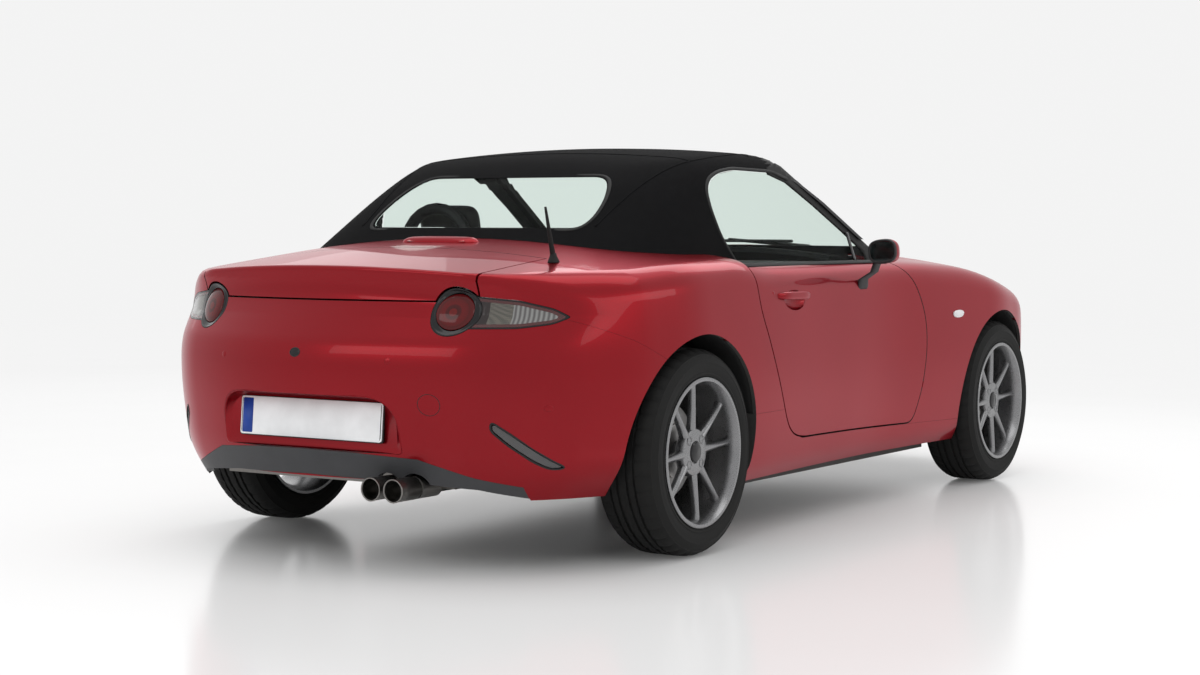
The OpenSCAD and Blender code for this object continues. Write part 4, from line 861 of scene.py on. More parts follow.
# round tail lamps with a pointed outer section
def tailLamps():
    lamp = dict(lens=50, dome=13, frame=4.5, border=12.5)
    turn = np.linspace(0, 2 * math.pi, 64, endpoint=False)
    ring = np.stack([0 * turn - 1000, lampY + 60 * np.cos(turn), lampZ + 60 * np.sin(turn)], -1)
    onSkin = reach(ring, [-1, 0, 0])
    fit = np.linalg.lstsq(np.stack([onSkin[:, 1] - lampY, onSkin[:, 2] - lampZ, np.ones(64)], 1),
                          onSkin[:, 0], rcond=None)[0]

    def rounds(profile):
        rings = []
        for r, out, blend in profile:
            y, z = lampY + r * np.cos(turn), lampZ + r * np.sin(turn)
            flat = fit[0] * (y - lampY) + fit[1] * (z - lampZ) + fit[2]
            skinX = reach(np.stack([0 * y - 1000, y, z], -1), [-1, 0, 0])[:, 0]
            rings.append([tuple(q) for q in np.stack([flat * (1 - blend) + skinX * blend - out, y, z], -1)])
        return loft(rings)
    dome = [(r, lamp["dome"] * (1 - (r / 52) ** 2) ** 0.6 - 6, 0)
            for r in (2, 8, 14, 20, 26, 32, 38, 43, 47, 50)]
    mirrored(newPiece("tailLampLenses", rounds([(2, -20, 0), (lamp["lens"], -20, 0)] + dome[::-1]), roundLens,
                      stands=["tail_lamps"]))
    bezel = newPiece("tailLampBezels",
                     rounds([(50, -22, 0), (50.5, -5, 0), (53, -1.5, 0.3), (57, -3, 0.6), (62, -1, 1),
                             (65.2, 0.4, 1), (65.8, -3, 1), (65.8, -30, 1), (60, -34, 1)]), glossBlack)
    mirrored(bezel)

    def behind(outline):
        return prism(outline, "x", -nose - 50, -1200)
    frameHole, borderHole = (behind(inset(lampTailShape, lamp[k], lampTailBend)) for k in ("frame", "border"))
    roundCut = [behind(circle(lampY, lampZ, lampRadius + grown)) for grown in (0.4, 1)]
    skinPatch("tailLampFrames", inset(lampTailShape, 0.4, lampTailBend), -1000, -1, glossBlack, 0.6, 22,
              remove=[roundCut[0], frameHole])
    skinPatch("tailLampBorders", inset(lampTailShape, lamp["frame"] + 0.2, lampTailBend), -1000, -1, deepLens,
              1.4, 10,
              remove=[roundCut[1], borderHole])
    skinPatch("tailLampTips", inset(lampTailShape, lamp["border"] + 0.2, lampTailBend), -1000, -1, tipLens,
              2.0, 10, remove=roundCut[1:])
    print("tail lamps")
    pod = dict(x=rearAxle - 150, halfWidth=136, halfDepth=30, height=15)
    rings = [[(x, y, bodyTop(x, y) + h) for x, y, _ in ovalRing((pod["x"], 0, 0), a, b, 3.0, 48, "xy")]
             for a, b, h in
             ((pod["halfDepth"] + 4, pod["halfWidth"] + 6, -3),
              (pod["halfDepth"] + 2, pod["halfWidth"] + 4, 1),
              (pod["halfDepth"] - 3, pod["halfWidth"] - 2, 8),
              (pod["halfDepth"] - 11, pod["halfWidth"] - 14, pod["height"] - 2),
              (6, pod["halfWidth"] - 30, pod["height"]))]
    newPiece("highLampPod", loft(rings), paint)
    first = pod["x"] - 27
    face = [(first + 3 * k, bodyTop(first, 0) + 2.5 + 2.2 * k) for k in range(4)]
    strip = [[(x - 1.5, s * (110 - x + first), z) for x, z in face] + [(x + 6, s * (110 - x + first), z - 1)
        for x, z in face[::-1]]
             for s in (-1, -0.5, 0, 0.5, 1)]
    newPiece("highLampLens", loft(strip), redLens)


def wheels():
    wheel = dict(steps=128, spokes=8, lean=4, rimRadius=216, width=205, boltPitch=50, treadSteps=168)
    h, b = wheel["width"] / 2, wheel["rimRadius"] - 0.3
    barrel = [(b, 10 - h), (b + 7, 6 - h), (b + 7, -h), (b - 2, -h), (b - 8, 12 - h), (b - 16, 30 - h),
              (b - 17, 0), (b - 16, h - 40), (b - 14, h - 22), (b - 9, h - 10),
              (b - 6, h - 4), (b - 4, h - 0.6), (b, h), (b + 5, h - 0.4), (b + 7, h - 2), (b + 7, h - 6),
              (b, h - 10), (b, h - 24), (b - 9, h - 34), (b - 9, 40 - h), (b, 24 - h)]
    rim = [turned(barrel, wheel["steps"])]
    for k in range(wheel["spokes"]):
        angle = math.radians(360 / wheel["spokes"] * k + (wheel["lean"] if k % 2 == 0 else -wheel["lean"]))
        rings = []
        for r, w, top, low in ((40, 17, 70, 44), (62, 14, 71.5, 46), (95, 11, 73, 50), (140, 9.2, 74.4, 54),
                               (180, 8.6, 75.6, 56), (196, 10.5, 76, 52), (207, 15, 76, 46)):
            section = [(-w, low), (-w, top - 9), (-w * 0.62, top - 3), (-w * 0.18, top), (w * 0.18, top),
                       (w * 0.62, top - 3), (w, top - 9), (w, low)]
            rings.append([(r * math.cos(angle) - u * math.sin(angle),
                           r * math.sin(angle) + u * math.cos(angle), v) for u, v in section])
        rim.append(loft(rings))
    rim.append(turned([(0.5, 41), (70, 41), (72.5, 45), (72, 60), (68, 68), (60, 70.5), (34, 71), (30, 66),
                       (0.5, 66)], 64))
    pockets, bolts = [], []
    for k in range(4):
        a = math.radians(90 * k + 45)
        x, y = wheel["boltPitch"] * math.cos(a), wheel["boltPitch"] * math.sin(a)
        pockets.append(moved(turned([(9.5, 62), (13, 62), (13.5, 71.5), (12, 73), (10, 71.5)], 24),
                             (x, y, 0)))
        bolts.append(moved(turned([(0.3, 60), (8.5, 60), (8.5, 66), (6.5, 68.5), (0.3, 69)], 6), (x, y, 0)))
    rim += pockets
    rim = joined(*rim)
    cap = turned([(0.3, 64), (29, 64), (29.5, 70), (27, 73.5), (22, 75), (0.3, 76)], 48)
    bolts = joined(*bolts)
    disc = turned([(30, -42), (139, -42), (140, -41), (140, -33.5), (136, -33), (136, -29.5), (140, -29),
                   (140, -21), (139, -20), (84, -20), (82, -18), (80, 4), (62, 5), (30, 5)], 96)
    sideWall = [(216, 90.5), (221, 95), (226, 97.6), (230, 100.4), (234, 101.2), (237, 99.6), (246, 101.2),
                (257, 102.5), (266, 101.6), (268, 102.3), (270.5, 101), (280, 95.8),
                (288, 91.5), (291, 92), (293, 88.5), (298, 82.5), (302.6, 74), (305.2, 67), (306.6, 60),
                (307.4, 52), (307.7, 46), (301, 45), (301, 38.5), (307.9, 37.5),
                (308, 30), (308, 22), (300.8, 21), (300.8, 13), (308, 12), (308, 6)]
    profile = sideWall + [(r, -x) for r, x in sideWall[::-1]]
    tyre = turned(profile, wheel["treadSteps"])
    for vert in tyre.verts:
        r, across = math.hypot(vert.co.x, vert.co.y) / mm, abs(vert.co.z) / mm
        slot = round(math.atan2(vert.co.y, vert.co.x) / (2 * math.pi / wheel["treadSteps"])) % 4
        if slot == 0 and r > 297 and 45.5 < across < 84:
            vert.co.xy *= 1 - 4.5 / r
        if slot == 2 and r > 306 and across < 31:
            vert.co.xy *= 1 - (2.5 if across > 8 else 0) / r
    kept = {}
    for name, bm in (("Rim", rim), ("Cap", cap), ("Bolts", bolts), ("Disc", disc), ("Tyre", tyre)):
        kept[name] = bpy.data.meshes.new("kept" + name)
        bm.to_mesh(kept[name])
        bm.free()
    finish = (("Rim", wheelMetal, "rim_", "wheel"), ("Cap", glossBlack, None, None),
              ("Bolts", steel, None, None),
              ("Disc", steel, None, None), ("Tyre", rubber, "tyre_", "tyre"))
    for end, x, track in (("Front", frontAxle, car["frontTrack"]), ("Rear", rearAxle, car["rearTrack"])):
        for side, s in (("Left", 1), ("Right", -1)):
            lower = end.lower() + "_" + side.lower()
            for name, material, stand, slot in finish:
                bm = bmesh.new()
                bm.from_mesh(kept[name])
                moved(bm, (x, s * track / 2, car["axleHeight"]), -90 * s)
                piece = newPiece("wheel" + name + end + side, bm, material, "wheel_" + lower, [stand + lower]
                                 if stand else ())
                if name in ("Rim", "Tyre"):
                    piece.data.polygons.foreach_set("use_smooth", [True] * len(piece.data.polygons))
                piece.data.set_sharp_from_angle(angle=math.radians(34))
    for mesh in kept.values():
        bpy.data.meshes.remove(mesh)
    print("wheels")


def mirrors():
    mirror = dict(x=20, y=906, z=892, tilt=0.10)

    def shellRing(x, a, b, dy=0, dz=0):
        return ovalRing((mirror["x"] + x, mirror["y"] + dy, mirror["z"] + dz), a, b, 2.8, 48,
                        tilt=mirror["tilt"])
    rings = []
    for x, a, b, dy, dz in ((-31, 47, 36, 0, 0), (-30, 50, 39.5, 0, 0), (-22, 51, 41, 0, 0),
                            (-8, 51, 41, 0, 0), (10, 48, 39, -1, -1), (28, 41, 34, -3, -2),
                            (42, 30, 26, -6, -3), (50, 14, 13, -8, -4)):
        rings.append(shellRing(x, a, b, dy, dz))
    y = sideY(60, 780)
    for side, s in (("left", 1), ("right", -1)):
        def mine(ringList):
            return [[(x, s * across, z) for x, across, z in r] for r in ringList]
        body = "door_" + side
        newPiece("mirrorCap" + side.title(), loft(mine(rings[1:])), paint, body, ["mirror_" + side])
        inner = [shellRing(*q) for q in ((-22, 51.4, 41.4), (-31, 50, 40), (-33, 47.5, 37.5), (-32, 44, 34),
                                         (-28, 43, 33))]
        newPiece("mirrorFrame" + side.title(), loft(mine(inner)), blackPlastic, body)
        face = [shellRing(*q) for q in ((-26, 43, 33), (-30.6, 43, 33))]
        newPiece("mirrorGlass" + side.title(), loft(mine(face)), mirrorGlass, body, smooth=False)
        arm = [ovalRing(c, a, b, 2.6, 28, "xy")
               for c, a, b in (((28, 878, 866), 26, 13), ((34, 868, 850), 22, 10), ((46, 852, 822), 24, 9),
                               ((56, y + 6, 796), 32, 8), ((62, y + 1, 772), 38, 7),
                               ((62, y - 2, 762), 36, 6))]
        newPiece("mirrorFoot" + side.title(), loft(mine(arm)), blackPlastic, body)
    print("mirrors")


def doorTrim():
    handle = dict(rear=-618, front=-366, z=757, out=15)
    xs = np.linspace(handle["rear"], handle["front"], 22)
    grip = []
    for x in xs:
        u = (x - handle["rear"]) / (handle["front"] - handle["rear"])
        thick = 6.5 * (1 - abs(2 * u - 1) ** 4) + 2.5
        out = handle["out"] * (1 - abs(2 * u - 1) ** 6) - 1
        grip.append(ovalRing((x, sideY(x, handle["z"]) + out - 4, handle["z"] - 4 * u), thick,
                             thick * 1.25 + 2, 2.6, 20))
    belt = car["belt"]
    for side, s in (("left", 1), ("right", -1)):
        body = "door_" + side

        def flip(rings):
            return [[(x, s * y, z) for x, y, z in r] for r in rings]
        newPiece("doorHandle" + side.title(), loft(flip(grip)), paint, body)
        lockY = sideY(-590, handle["z"])
        lock = [ovalRing((-646, lockY + k, handle["z"] - 1), r, r * 1.2, 2.2, 24, "xz")
                for k, r in ((-3, 14), (1.0, 14), (2.2, 12), (2.6, 4))]
        newPiece("doorLock" + side.title(), loft(flip(lock)), paint, body)
        xs = np.linspace(-742, 388, 60)
        strip = []
        for x in xs:
            inner = cabinHalf(belt) - 2
            edge = min(sideY(x, belt - 4) - 6, inner + 44)
            strip.append([(x, inner + 8, belt - 1), (x, inner + 8, belt + 9), (x, inner + 14, belt + 11),
                          (x, inner + 26, belt + 8), (x, edge, belt + 2), (x, edge, belt - 1)])
        newPiece("beltStrip" + side.title(), loft(flip(strip)), sealRubber, body)
        card = [[(x, sideY(x, z) - d - 60 * (z < 700), z)
                 for d, z in ((70, 330), (74, 420), (66, 500), (60, 560), (18, 600), (14, 660), (70, 705),
                              (90, 760), (88, 820), (76, 840), (66, 842), (60, 330))]
                              for x in np.linspace(-640, 330, 24)]
        newPiece("doorCard" + side.title(), loft(flip(card)), cabinPlastic, body)
        quarterBar = [[(205 - 0.08 * (z - 850) + dx, cabinHalf(z) + dy, z)
                       for dx, dy in ((-9, -1), (9, -1), (9, 3), (-9, 3))] for z in np.linspace(852, 955, 8)]
        newPiece("quarterBar" + side.title(), loft(flip(quarterBar)), glossBlack, body)
    print("door trim")


def topTrim():
    def along(turns, xs):
        d = np.array([[0, math.cos(a), math.sin(a)] for a in turns])
        return reach(np.stack([np.array(xs, float), 0 * np.array(xs, float), 0 * np.array(xs, float) + 800],
                              -1), d, topSkin)
    angles = np.linspace(math.radians(36), math.radians(144), 60)
    pieces = []
    for x in (-640, -300):
        pieces.append(skinTube(along(angles, [x] * 60), 3.2, topSkin, 0.5))
    for s in (1, -1):
        xs = np.linspace(-640, -100, 50)
        lean = [math.radians(90 - s * (54 - 6 * ((x + 640) / 540) ** 2)) for x in xs]
        pieces.append(skinTube(along(lean, xs), 3.4, topSkin, 0.5))
        xs = np.linspace(-1080, -640, 40)
        lean = [math.radians(90 - s * (54 + 15 * ((x + 640) / 440) ** 2)) for x in xs]
        pieces.append(skinTube(along(lean, xs), 3.4, topSkin, 0.5))
    newPiece("softTopSeams", joined(*pieces), canvas)
    ringPath = [tuple(q) for q in grow(rounded(windowEdge, 0), 7)]
    y, z = np.array(ringPath + ringPath[:1]).T
    edge = reach(np.stack([0 * y - 650, y, z], -1), [-1, 0, 0], topSkin)
    newPiece("rearWindowPiping", skinTube(edge, 6.0, topSkin, 0.45), sealRubber)
    skinPatch("rearWindowGlass", windowEdge, -650, -1, glass, 3.0, 5, topSkin, step=22,
              stands=["rear_window"], both=False)
    skinPatch("rearWindowBorder", windowEdge, -650, -1, glossBlack, 2.4, 1.2, topSkin, step=22, both=False,
              remove=[prism(grow(windowEdge, -16), "x", -1400, -650)])
    for s in (1, -1):
        x, z = np.array(rounded([(-640, 852), (-700, 940), (-722, 1024), (-704, 1086), (-660, 1126),
                                 (-592, 1150), (-500, 1162), (-240, 1158), (-140, 1134)],
                                 [0] + [30] * 7 + [0])).T
        side = reach(np.stack([x, 0 * x, z], -1), [0, s, 0], topSkin)
        newPiece("sideSeal" + ("Left" if s > 0 else "Right"), skinTube(side, 6.5, topSkin, 0.5, 1.0),
                 sealRubber)
    sections = []
    for y in np.linspace(-585, 585, 60):
        xh = screenX(y, 1198)
        zr = float(reach([xh - 74, y, 800], [0, 0, 1], topSkin)[2])
        zf = min(1201, float(reach([xh - 6, y, 800], [0, 0, 1], topSkin)[2]) + 0.5)
        low = min(1195, zr - 8, zf - 6)
        sections.append([(xh - 2, y, low), (xh - 80, y, low), (xh - 82, y, zr - 5), (xh - 71, y, zr - 0.5),
                         (xh - 30, y, max(zf, (zr + zf + 2) / 2)), (xh - 6, y, zf)])
    newPiece("headerSeal", loft(sections), sealRubber)
    zs, xs = np.linspace(846, 1196, 26), np.linspace(-300, 480, 30)
    for s in (1, -1):
        wall = gridOf(np.stack(np.broadcast_arrays(xs[:, None], s * (cabinHalf(zs)[None] - 13), zs[None]),
                               -1))
        bmesh.ops.solidify(wall, geom=wall.faces[:], thickness=-s * 8 * mm)
        bmesh.ops.recalc_face_normals(wall, faces=wall.faces[:])
        edge = [(-258, 1146), (-150, 1121), (14, 1042), (184, 953), (292, 892),
                (320, 848)] + [(float(screenX(cabinHalf(z), z)) - 14, z)
                               for z in (848, 900, 960, 1020, 1080, 1120, 1150, 1176)] + [(-188, 1186),
                                   (-258, 1168)]
        pillar = newPiece("pillarSeal" + ("Left" if s > 0 else "Right"), wall, sealRubber)
        carve(pillar, keep=[prism(edge, "y", -900, 900)])
    print("top trim")


def screenSurround():
    bm = bmesh.new()
    bm.from_mesh(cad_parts["windscreen_frame"].data)
    for vert in bm.verts:
        p = np.array(vert.co) / mm
        over = float(topSkin(p)) + 1.5
        if p[2] > 1090 and over > 0:
            vert.co = Vector(p - slope(topSkin, p) * over) * mm
    newPiece("windscreenSurround", bm, blackPlastic, stands=["windscreen_frame"], smooth=False)


def rearDetails():
    recess = dict(depth=82, floorShrink=14, plateHalf=260, plateZ=424, plateLean=4.8)
    lean = math.tan(math.radians(recess["plateLean"]))
    rings = []
    for t in (0.0, 0.12, 0.3, 0.55, 0.8, 0.94, 1.0):
        shrink = recess["floorShrink"] * t ** 1.2
        ring = inset(recessShape, shrink - 1, recessBend)
        y, z = np.array(ring).T
        skinX = reach(np.stack([0 * y - 1000, y, z], -1), [-1, 0, 0])[:, 0]
        floorX = -nose + recess["depth"]
        blend = t ** 0.8
        rings.append([tuple(q) for q in np.stack([skinX * (1 - blend) + floorX * blend + (0.5 if t == 0
            else 0), y, z], -1)])
    tub = loft(rings, closed=(-1,))
    tub.normal_update()
    last = max(tub.faces, key=lambda f: f.calc_center_median().x)
    if last.normal.x > 0:
        bmesh.ops.reverse_faces(tub, faces=tub.faces[:])
    bmesh.ops.solidify(tub, geom=tub.faces[:], thickness=-3 * mm)
    newPiece("plateRecess", tub, paint)
    x0 = -nose + recess["depth"]

    def plate(grown, low, high):
        z0, wide, tall = recess["plateZ"], recess["plateHalf"] + grown, 55 + grown
        edge = rounded([(-wide, z0 - tall), (wide, z0 - tall), (wide, z0 + tall), (-wide, z0 + tall)], 9)
        rings = [[(x + lean * (z - z0), y, z) for y, z in grow(edge, g)]
                 for x, g in ((low, 0), (high + 0.8, 0), (high, -1))]
        return loft(rings)
    newPiece("plateHolder", plate(3, x0 - 2, x0 - 8), blackPlastic)
    newPiece("plateBlank", plate(0, x0 - 8, x0 - 10.5), plateWhite, stands=["number_plate"])
    edge = plate(-3.5, x0 - 10, x0 - 11.2)
    border = newPiece("plateBorder", edge, glossBlack)
    carve(border, remove=[prism(rounded([(-254, 371), (254, 371), (254, 477), (-254, 477)], 7), "x", x0 - 40,
                                x0 + 40)])
    patch = rounded([(214, 374), (252, 374), (252, 474), (214, 474)], 4)
    newPiece("plateStrip", loft([[(x + lean * (z - recess["plateZ"]), y, z) for y, z in patch]
                                 for x in (x0 - 10, x0 - 11)]), plateBlue)
    skinPatch("valance", rounded(valanceEdge, 0), -1000, -1, greyPlastic, 0.3, 20, both=False, step=14,
              stands=["rear_valance"],
              remove=[prism(circle(y, 244, 40, 48), "x", -nose - 50, -1300) for y in (-262, -340)])
    for s in (1, -1):
        newPiece("rearSensor" + ("InnerLeft" if s > 0 else "InnerRight"), disc(s * 300, 600, 9, -1), paint)
        newPiece("rearSensor" + ("OuterLeft" if s > 0 else "OuterRight"), disc(s * 680, 470, 9, -1), paint)
    ring = circle(-410, 480, 30, 48)
    y, z = np.array(ring + ring[:1]).T
    path = reach(np.stack([0 * y - 1000, y, z], -1), [-1, 0, 0])
    newPiece("towCoverLine", skinTube(path, 0.9, bodySkin, 0.5), glossBlack)
    newPiece("rearCamera", disc(0, 617, 12, -1, 17), glossBlack)
    ring = [(q[1], q[2]) for q in ovalRing((0, 0, 617), 17, 12, 2.0, 40)]
    y, z = np.array(ring + ring[:1]).T
    path = reach(np.stack([0 * y - 1000, y, z], -1), [-1, 0, 0])
    newPiece("rearCameraRim", skinTube(path, 1.6, bodySkin, 0.8), blackPlastic)
    skinPatch("reflectorHousings", slashEdge, -1000, -1, glossBlack, 12, 6)
    skinPatch("rearReflectors", inset(slashShape, 4, 9), -1000, -1, darkLens, 3, 7, stands=["marker_lamps"])
    edge = slashEdge + slashEdge[:1]
    y, z = np.array(edge).T
    path = reach(np.stack([0 * y - 1000, y, z], -1), [-1, 0, 0])
    lip = newPiece("reflectorLips", skinTube(path, 2.6, bodySkin, 0.7), glossBlack)
    mirrored(lip)
    print("rear details")
    for y in (-262, -340):
        tip = turned([(29, 0), (29, -88), (30, -91), (32.5, -92), (33.6, -90.5), (33, -86), (32.3, -70),
                      (32.3, 0)], 64)
        moved(tip, (-1852, y, 244), 90, "Y")
        newPiece("exhaustTip" + ("Inner" if y > -300 else "Outer"), tip, exhaustMetal)
    base = (rearAxle - 348, -550)
    z0 = bodyTop(*base)
    foot = loft([ovalRing((base[0] + dx, base[1], z0 + h), a, b, 2.2, 32, "xy")
                 for dx, a, b, h in ((0, 23, 14, -3), (0, 22.5, 13.5, 2), (-1, 18, 11.5, 9),
                                     (-2, 12, 9.5, 18), (-3, 9, 8.5, 26))])
    mast = tube([(base[0] - 3 - 40 * t, base[1], z0 + 16 + 142 * t) for t in np.linspace(0, 1, 16)],
                list(np.linspace(8.2, 3.6, 16)), [[1.0, 0.02, 0.1]] * 16, 1.0, 16)
    newPiece("antennaMast", joined(foot, mast), sealRubber, stands=["antenna"])


def disc(y, z, r, toward, wide=None):
    start = -1000 if toward < 0 else 1000
    rings = []
    for part, out in ((1.0, -4), (1.0, 0.2), (0.85, 0.8), (0.1, 1.0)):
        ring = np.array(ovalRing((start, y, z), (wide or r) * part, r * part, 2.0, 32))
        p = reach(ring, [toward, 0, 0])
        rings.append([tuple(q) for q in p + [toward * out, 0, 0]])
    return loft(rings)


def frontDetails():
    clear = [prism(grow(bonnetEdge, 6), "z", 560, 1100)]
    skinPatch("headlampLenses", headlampEdge, 1100, 1, clearLens, 0.4, 3, step=7, stands=["headlamps"],
              remove=clear)
    skinPatch("headlampBowls", headlampEdge, 1100, 1, glossBlack, 34, 3, step=7, remove=clear)
    rim = headlampEdge + headlampEdge[:1]
    y, z = np.array(rim).T
    path = reach(np.stack([0 * y + 1100, y, z], -1), [1, 0, 0])
    lip = newPiece("headlampLips", skinTube(path - [6, 0, 0], 3.0, bodySkin, 0.8), glossBlack)
    carve(lip, remove=clear)
    mirrored(lip)
    for k, (y, z, r) in enumerate(((596, 626, 19), (656, 645, 15))):
        x = noseX(y, z) - 36
        bulb = turned([(0.3, 0), (r + 4, 0), (r + 5, 6), (r + 2, 12), (r, 8), (r * 0.7, 12), (r * 0.35, 15),
                       (0.3, 16)], 48)
        mirrored(newPiece("headlampUnit%d" % k, moved(bulb, (x, y, z), 90, "Y"), chrome))
    skinPatch("dayLamps", dayEdge, 1100, 1, darkLens, 2, 12, step=12)
    rim = dayEdge + dayEdge[:1]
    y, z = np.array(rim).T
    path = reach(np.stack([0 * y + 1100, y, z], -1), [1, 0, 0])
    mirrored(newPiece("dayLampLips", skinTube(path, 3.0, bodySkin, 0.7), glossBlack))
    rim = mouthEdge + mouthEdge[:1]
    y, z = np.array(rim).T
    path = reach(np.stack([0 * y + 1000, y, z], -1), [1, 0, 0])
    newPiece("mouthLip", skinTube(path - [4, 0, 0], 7.0, bodySkin, 0.8), paint)
    y, z = np.array(grow(mouthEdge, -1)).T
    lip = reach(np.stack([0 * y + 1000, y, z], -1), [1, 0, 0])[:, 0] - 8
    duct = loft([[tuple(q) for q in np.stack([lip * (1 - t) + (nose - 128) * t, y * (1 - 0.05 * t),
                                              (z - 330) * (1 - 0.06 * t) + 330], -1)]
                                              for t in (0, 0.3, 0.7, 1)], closed=())
    bmesh.ops.solidify(duct, geom=duct.faces[:], thickness=2.5 * mm)
    newPiece("mouthDuct", duct, blackPlastic)
    bars = []
    for z in range(232, 436, 18):
        width = 400 - max(0, z - 400) * 1.8 - max(0, 250 - z) * 1.5
        bars.append(loft([[(nose - 112 + dx, s * width, z + dz)
                           for dx, dz in ((0, -2), (10, -1), (10, 1), (0, 2))] for s in (-1, 1)]))
    for y in range(-380, 381, 38):
        bars.append(loft([[(nose - 110 + dx, y + dy, z) for dx, dy in ((0, -1.5), (6, -1), (6, 1), (0, 1.5))]
                          for z in (222, 436)]))
    newPiece("grilleMesh", joined(*bars), blackPlastic)
    fins = [loft([[(nose - 150 + dx, s * 372, z + dz) for dx, dz in ((0, 0), (6, 1.5), (6, 4.5), (0, 6))]
                  for s in (-1, 1)]) for z in range(228, 432, 8)]
    fins.append(loft([[(nose - 162 + dx, s * 376, z) for dx, z in ((0, 224), (13, 224), (13, 438), (0, 438))]
                      for s in (-1, 1)]))
    newPiece("radiatorCore", joined(*fins), glossBlack)
    for s in (1, -1):
        marker = [ovalRing((805, s * (sideY(805, 655) + out), 655), a, b, 2.4, 32, "xz")
                  for out, a, b in ((-4, 48, 14), (0.6, 48, 14), (2.2, 44, 11), (2.8, 10, 3))]
        newPiece("sideMarker" + ("Left" if s > 0 else "Right"), loft(marker), clearPlastic)
    print("front details")


def puffed(name, start, cap, material):  # cap is the most that it swells, in millimetres
    piece = newPiece(name, start, material)
    mesh = piece.modifiers.new("remesh", "REMESH")
    mesh.mode, mesh.voxel_size = "VOXEL", 0.0095
    bpy.context.view_layer.update()
    data = bpy.data.meshes.new_from_object(piece.evaluated_get(bpy.context.evaluated_depsgraph_get()))
    piece.modifiers.clear()
    piece.data = data
    data.name = name
    before = np.empty(len(data.vertices) * 3)
    data.vertices.foreach_get("co", before)
    before = before.reshape(-1, 3)
    cloth = piece.modifiers.new("cloth", "CLOTH")
    cloth.settings.use_pressure, cloth.settings.uniform_pressure_force = True, 4
    cloth.settings.effector_weights.gravity = 0
    cloth.settings.quality = 4
    scene = bpy.context.scene
    for number in range(1, 17):
        scene.frame_set(number)
    puffy = bpy.data.meshes.new_from_object(piece.evaluated_get(bpy.context.evaluated_depsgraph_get()))
    after = np.empty(len(puffy.vertices) * 3)
    puffy.vertices.foreach_get("co", after)
    move = after.reshape(-1, 3) - before
    length = np.linalg.norm(move, axis=1, keepdims=True)
    after = before + move * np.minimum(1, cap * mm / np.maximum(length, 1e-9))
    piece.modifiers.clear()
    data.vertices.foreach_set("co", after.ravel())
    scene.frame_set(1)
    bm = bmesh.new()
    bm.from_mesh(data)
    for _ in range(3):
        bmesh.ops.smooth_vert(bm, verts=bm.verts[:], factor=0.5, use_axis_x=True, use_axis_y=True,
                              use_axis_z=True)
    bm.to_mesh(data)
    bm.free()
    data.materials.clear()
    data.materials.append(material)
    data.polygons.foreach_set("use_smooth", [True] * len(data.polygons))
    return piece


def seatForm(length, width, height, bolster):  # a cushion lying along X, raised at both sides
    rings = []
    for t in np.linspace(0, 1, 14):
        end = (1 - abs(2 * t - 1) ** 6)
        w, h = width / 2 * (0.80 + 0.20 * end), height * (0.55 + 0.45 * end)
        section = []
        for a in np.linspace(0, 2 * math.pi, 36, endpoint=False):
            c, s = math.cos(a), math.sin(a)
            y, z = w * math.copysign(abs(c) ** 0.6, c), h / 2 * math.copysign(abs(s) ** 0.6, s)
            if s > 0:
                z += bolster * np.clip((abs(y) / w - 0.52) / 0.4, 0, 1) ** 1.4 * end
            section.append((length * t, y, z))
        rings.append(section)
    return loft(rings)


def seats():
    seat = dict(y=365, parts=(  # name, length, width, thickness, bolster, x, z, tilt, most that it swells, fill
        ("seatBase", 490, 424, 104, 26, -452, 352, -8, 12, 0.8),
        ("seatBack", 545, 400, 84, 24, -512, 330, -110, 12, 0.8),
        ("headRest", 160, 236, 74, 4, -690, 884, -104, 8, 0.9)))
    for k, (name, length, width, thick, bolster, x, z, tilt, cap, fill) in enumerate(seat["parts"]):
        form = moved(seatForm(length, width, thick, bolster), (x, seat["y"], z), tilt, "Y")
        left = puffed(name + "Left", form, cap, hide)
        right = newPiece(name + "Right", bmeshCopy(left), hide)
        if k == 0:
            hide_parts("seats")
    shells = []
    for s in (1, -1):
        for y in (-150, 150):
            shells.append(loft([ovalRing((x, s * seat["y"] + y, 182), 7, 15, 4, 16) for x in (-430, -60)]))
        shells.append(loft([ovalRing((x, s * seat["y"], z), w, h, 4, 40)
                            for x, z, w, h in ((-440, 236, 170, 50), (-400, 232, 195, 60),
                                               (-100, 240, 195, 66), (-20, 258, 180, 44))]))
        for y in (-45, 45):
            shells.append(tube([(x, s * seat["y"] + y, z)
                                for x, z in ((-690, 810), (-704, 870), (-714, 915))], 6))
    newPiece("seatBases", joined(*shells), cabinPlastic)
    print("seats")


def bmeshCopy(piece):
    bm = bmesh.new()
    bm.from_mesh(piece.data)
    bmesh.ops.scale(bm, vec=(1, -1, 1), verts=bm.verts[:])
    bmesh.ops.reverse_faces(bm, faces=bm.faces[:])
    return bm


